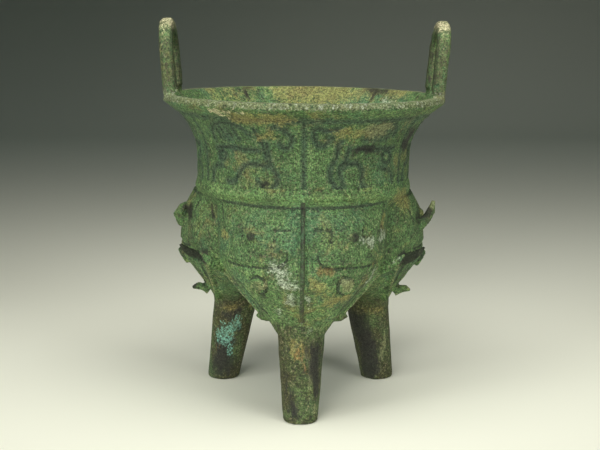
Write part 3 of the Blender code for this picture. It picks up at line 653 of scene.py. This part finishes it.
def base_piece():
    """The casting's own solid as an even, softened mesh."""
    source = bmesh.new()
    source.from_mesh(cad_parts["ding_vessel"].data)
    bmesh.ops.remove_doubles(source, verts=source.verts, dist=WELD_DISTANCE)
    mesh = bpy.data.meshes.new("ding_bronze")
    source.to_mesh(mesh)
    source.free()
    piece = bpy.data.objects.new("ding_bronze", mesh)
    bpy.context.scene.collection.objects.link(piece)
    size = VOXEL
    add_modifier(piece, "REMESH", mode="VOXEL", voxel_size=size)
    add_modifier(piece, "SMOOTH", factor=SMOOTH_FACTOR, iterations=SMOOTH_ROUNDS)
    apply_modifiers(piece)
    add_modifier(piece, "DECIMATE", ratio=BASE_TRIANGLES / triangle_count(piece.data))
    apply_modifiers(piece)
    return piece


def refine(piece):
    """Shorter edges where the ornament is, for its lines, the longest first."""
    for _ in range(FINE_ROUNDS):
        place = Place(piece.data)
        fine = place.on_neck & (place.height > FRIEZE_FOOT - FRIEZE_MARGIN)
        fine |= place.on_lobe & (place.height > MASK_FOOT) & (np.abs(place.turn) < FINE_TURN)
        fine_mesh = bmesh.new()
        fine_mesh.from_mesh(piece.data)
        fine_mesh.verts.ensure_lookup_table()
        room = (MOST_TRIANGLES - len(fine_mesh.faces)) // 2
        long_edges = [
            edge for edge in fine_mesh.edges
            if fine[edge.verts[0].index] and fine[edge.verts[1].index] and edge.calc_length() > FINE_EDGE
        ]
        long_edges.sort(key=lambda edge: -edge.calc_length())
        bmesh.ops.subdivide_edges(fine_mesh, edges=long_edges[:max(room, 0)], cuts=1)
        bmesh.ops.triangulate(fine_mesh, faces=[face for face in fine_mesh.faces if len(face.verts) > 3])
        fine_mesh.to_mesh(piece.data)
        fine_mesh.free()


def smooth_path(points):
    """A smooth curve through a few points."""
    points = [np.array(point) for point in points]
    ends = [2.0 * points[0] - points[1]] + points + [2.0 * points[-1] - points[-2]]
    curve = []
    for before, start, end, after in zip(ends, ends[1:], ends[2:], ends[3:]):
        for step in range(PATH_STEPS):
            share = step / PATH_STEPS
            curve.append(0.5 * (
                2.0 * start + (end - before) * share
                + (2.0 * before - 5.0 * start + 4.0 * end - after) * share ** 2
                + (3.0 * start - before - 3.0 * end + after) * share ** 3
            ))
    curve.append(points[-1])
    return curve


def line_distance(along, height, path):
    """How far each vertex is from a curve drawn on the skin."""
    nearest = np.full(len(along), FAR_GAP)
    curve = smooth_path(path)
    for start, end in zip(curve, curve[1:]):
        run = end - start
        share = ((along - start[0]) * run[0] + (height - start[1]) * run[1]) / (run @ run)
        share = np.clip(share, 0.0, 1.0)
        gap = np.hypot(along - start[0] - share * run[0], height - start[1] - share * run[1])
        nearest = np.minimum(nearest, gap)
    return nearest


def horn_stroke(along):
    """A short bent stroke across a dragon's horn."""
    return (
        (along - STROKE_SLANT, STROKE_FOOT),
        (along, STROKE_MIDDLE),
        (along + STROKE_BEND, STROKE_TOP),
    )


def dragon_gap(dragon, eye, along, height):
    """How far vertices of the neck are from the nearest line of a dragon."""
    eye_along, eye_height, eye_radius = eye
    found = [np.abs(np.hypot(along - eye_along, height - eye_height) - eye_radius)]
    for path in (*dragon.values(), *map(horn_stroke, HORN_STROKES)):
        found.append(line_distance(along, height, path))
    return np.minimum.reduce(found)


def frieze_gap(place):
    """How far each vertex of the neck is from the nearest line of the frieze, in metres."""
    gaps = np.full(len(place.along), FAR_GAP)
    width = np.abs(place.along)
    left = place.along < 0.0
    halves = ((DRAGON_LEFT, LEFT_DRAGON_EYE, left), (DRAGON_RIGHT, RIGHT_DRAGON_EYE, ~left))
    for dragon, eye, here in halves:
        chosen = np.flatnonzero(here & place.on_neck)
        gaps[chosen] = dragon_gap(dragon, eye, width[chosen], place.height[chosen])
    divider = np.minimum(width, np.abs(width - NECK_RADIUS * math.pi / LOBES)) + BORDER_FAINT
    gaps = np.where(place.between(FRIEZE_FOOT, FRIEZE_TOP), np.minimum(gaps, divider), FAR_GAP)
    gaps = np.minimum(gaps, np.abs(place.height - FRIEZE_TOP) + BORDER_FAINT)
    return np.where(place.on_neck, np.minimum(gaps, FAR_GAP), FAR_GAP)


def stud_gap(skin, height, angle, stud_height):
    """How far vertices of the lobes are from the middle of a stud."""
    middle = angle * lobe_section(np.array([stud_height]))[1][0]
    return np.hypot(np.abs(skin) - middle, height - stud_height)


def mask_gap(place):
    """How far each vertex of the lobes is from the nearest incised line of the masks, in metres."""
    chosen = np.flatnonzero(place.on_lobe)
    skin = np.abs(place.skin[chosen])
    height = place.height[chosen]
    found = [np.abs(stud_gap(skin, height, BOSS_ANGLE, BOSS_HEIGHT) - BOSS_RADIUS)]
    for path in MASK_LINES.values():
        found.append(line_distance(skin, height, path))
    gaps = np.full(len(place.skin), FAR_GAP)
    gaps[chosen] = np.minimum.reduce(found)
    return gaps


def stud_middle(place, angle, height, radius):
    """1 within a stud on the lobes, falling to 0 at its rim."""
    gap = stud_gap(place.skin, place.height, angle, height)
    return np.where(place.on_lobe, 1.0 - smooth_step(gap, STUD_CORE * radius, radius), 0.0)


def field(points, size, seed, detail=FIELD_DETAIL):
    """A smooth random value from about -1 to 1 at each point."""
    offset = Vector([seed * step for step in FIELD_SEED_STEPS])
    return np.array([
        noise.fractal(Vector(point) / size + offset, FIELD_FALL, FIELD_STEP, detail) for point in points
    ])


def warped(points):
    """Points shifted here and there, so that what is drawn by them gets a ragged edge."""
    shift = np.zeros_like(points)
    for axis in range(3):
        for size, reach in PATCH_WARPS:
            shift[:, axis] += field(points, size, WARP_SEED + axis) * reach
    return points + shift


def capsule(points, start, end, radius):
    """1 in the middle of a capsule, 0.5 on its skin, falling to 0 outside."""
    start = np.array(start)
    run = np.array(end) - start
    share = np.clip(((points - start) @ run) / (run @ run), 0.0, 1.0)
    gap = np.linalg.norm(points - start - share[:, None] * run, axis=1)
    return np.clip(1.0 - 0.5 * gap / radius, 0.0, 1.0)


def truing(place):
    """How much each vertex of the neck moves out or in, so that the frieze lies on an even ground."""
    zone = smooth_step(place.height, *TRUING_FOOT)
    zone *= 1.0 - smooth_step(place.height, *TRUING_TOP)
    zone *= place.on_neck * NECK_TRUING
    return 1.0 + zone * (neck_radius(place.height) / np.maximum(place.radius, AXIS_GUARD) - 1.0)


def cut_depth(gap, half, depth):
    """The depth of an incised line at each vertex."""
    return depth * (1.0 - smooth_step(gap, half * LINE_CORE, half + LINE_SOFT))


def weathering(place, points):
    """Swells and crusts that stand out, less the chips along the lip."""
    handle = place.height > HANDLE_FOOT
    swell = field(points, SWELL_SIZE, SWELL_SEED) * np.where(handle, HANDLE_SWELL, SWELL_DEPTH)
    crust = field(points, CRUST_SIZE, CRUST_SEED, CRUST_DETAIL) * CRUST_DEPTH
    lip = smooth_step(place.radius, *CHIP_ACROSS)
    lip *= smooth_step(place.height, *CHIP_RISE)
    lip *= ~handle
    chips = np.maximum(field(points, CHIP_SIZE, CHIP_SEED) - CHIP_START, 0.0) * CHIP_DEPTH * lip
    return swell + crust - chips


def carve(piece):
    """Sets the neck truer and cuts the ornament and the weathering into the mesh."""
    place = Place(piece.data)
    frieze = frieze_gap(place)
    mask = mask_gap(place)
    points = levelled(mesh_points(piece.data))
    points[:, :2] *= truing(place)[:, None]
    cuts = cut_depth(frieze, LINE_HALF, LINE_DEPTH) + cut_depth(mask, MASK_LINE_HALF, MASK_LINE_DEPTH)
    points += mesh_normals(piece.data) * (weathering(place, points) - cuts)[:, None]
    set_points(piece.data, np.clip(leaned(points), np.array(cad_low), np.array(cad_high)))
    return place, frieze, mask


def stray_patches(points, normals):
    """More small patches on the sides and back, in keeping with the front's."""
    rng = np.random.default_rng(STRAY_SEED)
    hidden = (points[:, 1] > STRAY_FRONT) & (normals[:, 1] > STRAY_FACING) & (points[:, 2] < STRAY_TOP)
    hidden = np.flatnonzero(hidden)
    strays = {}
    for name, count in STRAY_PATCHES.items():
        strays[name] = []
        for _ in range(count):
            start = points[rng.choice(hidden)]
            end = start + rng.uniform(-0.5, 0.5, 3) * STRAY_LENGTH
            strays[name].append((start, end, rng.uniform(*STRAY_RADIUS)))
    return strays


def patch_weights(points, normals):
    """How strong each kind of patch is at each vertex."""
    strays = stray_patches(points, normals)
    ragged_points = warped(points)
    weights = {}
    for name, capsules in PATCHES.items():
        found = [capsule(ragged_points, *ends) for ends in (*capsules, *strays.get(name, ()))]
        weights[name] = np.maximum.reduce(found)
    return weights


def strengthen(weights, name, *shares):
    """Raises the weight of a kind of patch to the highest of some shares."""
    weights[name] = np.maximum.reduce((weights[name], *shares))


def paint_rim(weights, place):
    """Pale, chalky and dark metal on the lip; pale tops and darker stems on the handles, with a painted
    highlight on their outer faces and painted shade on their inner faces.
    """
    lip = smooth_step(place.radius, *LIP_ACROSS)
    lip *= smooth_step(place.height, *LIP_RISE)
    lip *= 1.0 - smooth_step(place.height, *LIP_END)
    handle = place.height > HANDLE_FOOT
    top = smooth_step(place.height, *HANDLE_TOP)
    stem = handle * (1.0 - top)
    # Outward faces of the handles get a painted highlight, inward faces painted shade
    outer = smooth_step(place.facing, *HANDLE_OUTWARD) * handle
    inner = handle & (place.facing < HANDLE_INWARD)
    strengthen(
        weights, "pale",
        lip * LIP_PALE, top * HANDLE_PALE, outer * HANDLE_OUTER_HIGHLIGHT, handle * HANDLE_MOTTLE,
    )
    strengthen(weights, "ochre", stem * HANDLE_OCHRE)
    strengthen(weights, "cream", top * HANDLE_CREAM)
    strengthen(weights, "chalk", lip * LIP_CHALK)
    strengthen(weights, "dark", lip * LIP_DARK, inner * HANDLE_INNER_SHADE, stem * HANDLE_STEM_DARK)


def paint_flanges(weights, place):
    """Dark flanges, with a painted highlight along their right edge, broken into pale flecks."""
    side = np.abs(place.side)
    head = np.abs(place.height - FLANGE_HEAD) < FLANGE_HEAD_HALF
    flange = (side < FLANGE_HALF + FLANGE_EDGE) & (place.stand > FLANGE_SHOWN) & place.on_lobe
    flange |= (side < FLANGE_HALF) & (place.facing > 0.0) & head
    strengthen(weights, "dark", flange * FLANGE_DARK)
    # Painted highlight along the flanges' right edge
    strengthen(weights, "pale", (flange & (place.side > 0.0)) * FLANGE_HIGHLIGHT)


def paint_masks(weights, place):
    """The front mask's dark eyes, pale bosses, a painted highlight along the keels, and painted shade in
    the hollows between the lobes.
    """
    eye = stud_middle(place, EYE_ANGLE, EYE_HEIGHT, EYE_RADIUS)
    eye *= np.where(place.skin < 0.0, LEFT_EYE_DARK, RIGHT_EYE_DARK) * (place.lobe == 0)
    boss = stud_middle(place, BOSS_ANGLE, BOSS_HEIGHT, BOSS_RADIUS)
    # Painted highlight along the keel lips' crest
    keel = np.exp(-((np.abs(place.turn) - KEEL_LIP_ANGLE) / KEEL_LIP_WIDTH) ** 2)
    keel *= place.on_lobe & (place.height < KEEL_LIP_TOP)
    # Painted shade in the hollows between the lobes
    recess_shade = smooth_step(np.abs(place.turn), *RECESS_TURN)
    recess_shade *= (place.facing > RECESS_FACING) & place.between(RECESS_FOOT, EYE_HEIGHT)
    strengthen(weights, "dark", eye, recess_shade * RECESS_SHADE)
    strengthen(weights, "pale", boss * BOSS_PALE, keel * KEEL_HIGHLIGHT)


def outside_share(place):
    """1 where the skin faces outward, less towards the lobes' far sides."""
    fade = SIDE_FADE * smooth_step(np.abs(place.angle), *SIDE_FADE_ANGLE)
    return smooth_step(place.facing, *OUTSIDE_FACING) * (1.0 - fade)


def ground_share(place):
    """Where the ground of square spirals lies, fainter on the masks than on the frieze."""
    on_frieze = place.on_neck & place.between(FRIEZE_FOOT, FRIEZE_TOP)
    on_panel = place.on_lobe & place.between(PANEL_FOOT, MASK_TOP)
    return on_frieze * 1.0 + on_panel * PANEL_GROUND


def paint(piece, place, frieze, mask):
    """Writes onto the mesh, vertex by vertex, what the material reads."""
    mesh = piece.data
    values = patch_weights(mesh_points(mesh), mesh_normals(mesh))
    paint_rim(values, place)
    paint_flanges(values, place)
    paint_masks(values, place)
    values["outside"] = outside_share(place)
    values["ground"] = ground_share(place)
    values["frieze_gap"] = frieze * MILLIMETRES
    values["mask_gap"] = mask * MILLIMETRES
    values["height"] = place.height * MILLIMETRES
    values["width"] = np.where(place.on_neck, np.abs(place.along), np.abs(place.skin)) * MILLIMETRES
    for name, value in values.items():
        attribute = mesh.attributes.new(name, "FLOAT", "POINT")
        attribute.data.foreach_set("value", value.astype(np.float32))


class Graph:
    """A short way to write a material's nodes."""

    def __init__(self, name):
        self.material = bpy.data.materials.new(name)
        self.material.use_nodes = True
        self.tree = self.material.node_tree
        self.shader = self.tree.nodes["Principled BSDF"]

    def node(self, kind, inputs=None, **settings):
        """A node with its inputs linked or set."""
        made = self.tree.nodes.new(kind)
        for name, value in settings.items():
            setattr(made, name, value)
        for key, value in (inputs or {}).items():
            if isinstance(value, bpy.types.NodeSocket):
                self.tree.links.new(value, made.inputs[key])
            else:
                made.inputs[key].default_value = value
        return made

    def math(self, operation, first, second=0.0, clamp=False):
        """A sum or other operation on one or two values."""
        made = self.node("ShaderNodeMath", {0: first, 1: second}, operation=operation, use_clamp=clamp)
        return made.outputs[0]

    def times(self, first, second):
        """The product of two values."""
        return self.math("MULTIPLY", first, second)

    def plus(self, first, second):
        """The sum of two values."""
        return self.math("ADD", first, second)

    def less(self, first, second):
        """The first value less the second."""
        return self.math("SUBTRACT", first, second)

    def summed(self, values, shares):
        """The sum of named values, each times its share."""
        total = 0.0
        for name, share in shares.items():
            total = self.plus(self.times(values[name], share), total)
        return total

    def range(self, value, start, end, low=0.0, high=1.0, smooth=True):
        """A value mapped from one range to another."""
        made = self.node("ShaderNodeMapRange", {
            "Value": value, "From Min": start, "From Max": end, "To Min": low, "To Max": high,
        })
        made.interpolation_type = "SMOOTHSTEP" if smooth else "LINEAR"
        return made.outputs["Result"]

    def ramp(self, name, value, smooth=True):
        """A value turned into a share by a named ramp."""
        return self.range(value, *RAMPS[name], smooth=smooth)

    def noise(self, coordinates, kind):
        """A noise of the named kind's size and roughness."""
        made = self.node("ShaderNodeTexNoise", {
            "Vector": coordinates, "Scale": kind.scale, "Detail": kind.detail,
            "Roughness": kind.roughness, "Distortion": kind.distortion,
        })
        return made.outputs["Fac"]

    def mix(self, share, first, second, blend="MIX"):
        """A share of the second colour over the first. The node's colours are its sockets 6 and 7."""
        inputs = {0: share, 6: first, 7: second}
        return self.node("ShaderNodeMix", inputs, data_type="RGBA", blend_type=blend).outputs[2]

    def value(self, name):
        """A value written on the mesh."""
        return self.node("ShaderNodeAttribute", attribute_name=name).outputs["Fac"]

    def link(self, output, name):
        """Drives one of the shader's sockets."""
        self.tree.links.new(output, self.shader.inputs[name])


def patina_noises(graph, place):
    """The patina's noises, by name."""
    elsewhere = graph.node("ShaderNodeMapping", {0: place, 1: NOISE_SHIFT}).outputs[0]
    return {name: graph.noise(elsewhere if kind.shifted else place, kind) for name, kind in NOISES.items()}


def patina_colour(graph, noises, height):
    """Mottled greens with drifts of blue-green and ochre, browner on the legs, freckled all over."""
    tone = graph.summed(noises, TONE_SHARES)
    colour = graph.mix(graph.ramp("mid_green", tone), DARK_OLIVE, MID_GREEN)
    colour = graph.mix(graph.ramp("light_green", tone), colour, LIGHT_GREEN)
    colour = graph.mix(graph.ramp("blue_green", noises["blue"]), colour, BLUE_GREEN)
    colour = graph.mix(graph.ramp("olive", noises["olive"]), colour, OCHRE)
    leg = graph.ramp("leg", graph.plus(height, graph.times(noises["middle"], LEG_RAGGED)))
    leg = graph.times(leg, graph.ramp("leg_mottle", noises["broad"]))
    colour = graph.mix(leg, colour, LEG_OLIVE)
    colour = graph.mix(graph.ramp("dark_freckle", noises["freckle"]), colour, DARK_BROWN)
    return graph.mix(graph.ramp("warm_freckle", noises["freckle"]), colour, WARM_SPECK)


def thunder_pattern(graph, noises, height):
    """Square spirals in rows, faint where the ground is worn."""
    sides = []
    for length in (graph.value("width"), height):
        share = graph.math("FRACT", graph.math("DIVIDE", length, THUNDER_CELL))
        sides.append(graph.less(share, 0.5))
    widest = graph.math("MAXIMUM", graph.math("ABSOLUTE", sides[0]), graph.math("ABSOLUTE", sides[1]))
    turn = graph.math("ARCTAN2", sides[1], sides[0])
    phase = graph.plus(graph.times(widest, 2.0 * math.pi * THUNDER_TURNS), turn)
    wave = graph.ramp("thunder", graph.math("SINE", phase))
    wear = graph.ramp("thunder_wear", noises["middle"])
    return graph.times(graph.times(wave, graph.value("ground")), wear)


def ornament_lines(graph, noises, height, outside):
    """The incised lines and a painted shadow line under the ledge, worn here and there, and the darker
    halo round the frieze's.
    """
    wobble = graph.times(graph.less(noises["fine"], 0.5), LINE_WOBBLE)
    frieze = graph.plus(graph.value("frieze_gap"), wobble)
    mask = graph.plus(graph.value("mask_gap"), wobble)
    # Painted shadow under the ledge, mixed in with the incised lines
    ledge = graph.math("ABSOLUTE", graph.less(height, LEDGE_SHADOW_HEIGHT))
    ledge = graph.ramp("ledge_shadow", graph.plus(ledge, graph.times(wobble, LEDGE_SHADOW_WOBBLE)))
    lines = graph.math("MAXIMUM", graph.ramp("mask_line", mask), graph.times(ledge, outside))
    frieze_lines = graph.times(graph.ramp("frieze_line", frieze), FRIEZE_LINE_SHARE)
    lines = graph.math("MAXIMUM", frieze_lines, lines)
    lines = graph.times(lines, graph.ramp("line_wear", noises["middle"]))
    halo = graph.times(graph.ramp("frieze_halo", frieze), HALO_SHARE)
    return lines, halo


def patch_shares(graph, noises):
    """How much of each kind of patch shows, with broken edges."""
    ragged = graph.less(graph.summed(noises, RAGGED_SHARES), RAGGED_MIDDLE)
    shares = {}
    for layer in LAYERS:
        weight = graph.value(layer.patch)
        edge = graph.plus(graph.times(weight, layer.weight), graph.times(ragged, layer.spread))
        share = graph.range(edge, PATCH_EDGE - layer.soft, PATCH_EDGE + layer.soft)
        if layer.bounded:
            share = graph.times(share, graph.ramp("patch_bound", weight))
        shares[layer.patch] = share
    mottle = graph.ramp("turquoise_mottle", noises["fine"])
    shares["turquoise"] = graph.times(shares["turquoise"], mottle)
    return shares


def corrosion_pits(graph, noises, place):
    """Small round pits, in some places only."""
    cells = graph.node("ShaderNodeTexVoronoi", {"Vector": place, "Scale": PIT_SCALE, "Randomness": 1.0})
    pit = graph.ramp("pit", cells.outputs["Distance"])
    return graph.times(pit, graph.ramp("pit_place", noises["fine"]))


def grained(graph, noises, colour):
    """A colour broken up by fine light and dark grains."""
    speckle = graph.ramp("speckle", noises["fine"], smooth=False)
    sparkle = graph.ramp("sparkle", noises["grain"], smooth=False)
    shade = graph.times(speckle, sparkle)
    grey = graph.node("ShaderNodeCombineColor", {0: shade, 1: shade, 2: shade}).outputs[0]
    return graph.mix(1.0, colour, grey, "MULTIPLY")


def add_bronze():
    """Cast bronze under an old mottled patina, with crusts, stains and dark bare places, and painted shade
    and painted highlights on some edges, faces and hollows.
    """
    graph = Graph("green_bronze")
    place = graph.node("ShaderNodeTexCoord").outputs["Object"]
    noises = patina_noises(graph, place)
    height = graph.value("height")
    outside = graph.value("outside")
    thunder = thunder_pattern(graph, noises, height)
    lines, halo = ornament_lines(graph, noises, height, outside)
    shares = patch_shares(graph, noises)
    pit = corrosion_pits(graph, noises, place)
    colour = patina_colour(graph, noises, height)
    # Painted highlight: a lighter green band along the lip above the ledge
    band = graph.ramp("band", graph.math("ABSOLUTE", graph.less(height, BAND_MIDDLE)))
    colour = graph.mix(graph.times(band, outside), colour, BAND_HIGHLIGHT_GREEN)
    colour = graph.mix(graph.times(thunder, THUNDER_SHARE), colour, INLAY_GREEN)
    colour = graph.mix(halo, colour, INLAY_GREEN)
    # Incised lines, and the painted shadow under the ledge, in dark grey
    colour = graph.mix(graph.times(lines, LINE_SHARE), colour, LINE_GREY)
    for layer in LAYERS:
        colour = graph.mix(graph.times(shares[layer.patch], layer.strength), colour, layer.colour)
    colour = graph.mix(graph.times(pit, PIT_SHARE), colour, CAVITY_BROWN)
    graph.link(grained(graph, noises, colour), "Base Color")
    roughness = graph.ramp("roughness", noises["middle"], smooth=False)
    roughness = graph.plus(roughness, graph.times(shares["chalk"], CHALK_ROUGHNESS))
    polish = graph.times(shares["dark"], DARK_POLISH)
    graph.link(graph.math("SUBTRACT", roughness, polish, clamp=True), "Roughness")
    reliefs = {**noises, "pit": pit, "lines": lines, "thunder": thunder, "chalk": shares["chalk"]}
    bump = graph.node("ShaderNodeBump", {
        "Strength": BUMP_STRENGTH, "Distance": BUMP_DISTANCE, "Height": graph.summed(reliefs, BUMP_SHARES),
    })
    graph.link(bump.outputs["Normal"], "Normal")
    graph.shader.inputs["Specular IOR Level"].default_value = BRONZE_SPECULAR
    return graph.material


def add_paper():
    """A plain pale matt paper for the stage, with a faint tooth."""
    graph = Graph("pale_paper")
    place = graph.node("ShaderNodeTexCoord").outputs["Object"]
    tooth = graph.noise(place, PAPER_TOOTH)
    smoother = PAPER_ROUGHNESS - PAPER_TOOTH_REACH
    rougher = PAPER_ROUGHNESS + PAPER_TOOTH_REACH
    graph.link(graph.range(tooth, *PAPER_TOOTH_RANGE, smoother, rougher), "Roughness")
    graph.shader.inputs["Base Color"].default_value = FLOOR_COLOUR
    graph.shader.inputs["Specular IOR Level"].default_value = PAPER_SPECULAR
    return graph.material


def add_floor():
    """A pale floor that bends up into a wall far behind."""
    profile = [(FLOOR_FRONT, 0.0)]
    for step in range(BEND_STEPS + 1):
        turn = 0.5 * math.pi * step / BEND_STEPS
        profile.append((
            FLOOR_BEND + BEND_RADIUS * math.sin(turn),
            BEND_RADIUS * (1.0 - math.cos(turn)),
        ))
    profile.append((FLOOR_BEND + BEND_RADIUS, WALL_TOP))
    sheet = bmesh.new()
    rows = []
    for depth, height in profile:
        rows.append([sheet.verts.new((side * FLOOR_HALF_WIDTH, depth, height)) for side in (-1, 1)])
    for near, far in zip(rows, rows[1:]):
        sheet.faces.new((near[0], near[1], far[1], far[0]))
    mesh = bpy.data.meshes.new("floor")
    sheet.to_mesh(mesh)
    sheet.free()
    mesh.shade_smooth()
    mesh.materials.append(add_paper())
    floor = bpy.data.objects.new("floor", mesh)
    bpy.context.scene.collection.objects.link(floor)


def add_softbox(softbox):
    """A soft rectangular light that faces a target, with a grid that holds its beam together."""
    light = bpy.data.lights.new(softbox.name, "AREA")
    light.shape = "RECTANGLE"
    light.size = softbox.width
    light.size_y = softbox.depth
    light.energy = softbox.power
    light.spread = math.radians(softbox.spread)
    light.color = softbox.colour
    lamp = bpy.data.objects.new(softbox.name, light)
    lamp.location = softbox.place
    lamp.rotation_mode = "QUATERNION"
    lamp.rotation_quaternion = (Vector(softbox.target) - Vector(softbox.place)).to_track_quat("-Z", "Y")
    bpy.context.scene.collection.objects.link(lamp)


def add_room_light():
    """A faint light from all round."""
    world = bpy.data.worlds.new("soft_room")
    world.use_nodes = True
    background = world.node_tree.nodes["Background"]
    background.inputs["Color"].default_value = ROOM_COLOUR
    background.inputs["Strength"].default_value = ROOM_STRENGTH
    bpy.context.scene.world = world


def add_camera():
    """The camera at the photograph's angle."""
    lens = bpy.data.cameras.new("camera")
    lens.lens = CAMERA_LENS
    lens.sensor_width = CAMERA_SENSOR
    camera = bpy.data.objects.new("camera", lens)
    camera.location = CAMERA_PLACE
    camera.rotation_euler = (0.5 * math.pi - CAMERA_PITCH, 0.0, 0.0)
    bpy.context.scene.collection.objects.link(camera)
    bpy.context.scene.camera = camera


add_camera()
vessel = base_piece()
refine(vessel)
vessel_place, vessel_frieze, vessel_mask = carve(vessel)
paint(vessel, vessel_place, vessel_frieze, vessel_mask)
vessel.data.materials.clear()
vessel.data.materials.append(add_bronze())
vessel.data.shade_smooth()
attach(vessel, "root")
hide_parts("ding_vessel")
add_floor()
for box in SOFTBOXES:
    add_softbox(box)
add_room_light()
bpy.context.scene.view_settings.view_transform = "Standard"
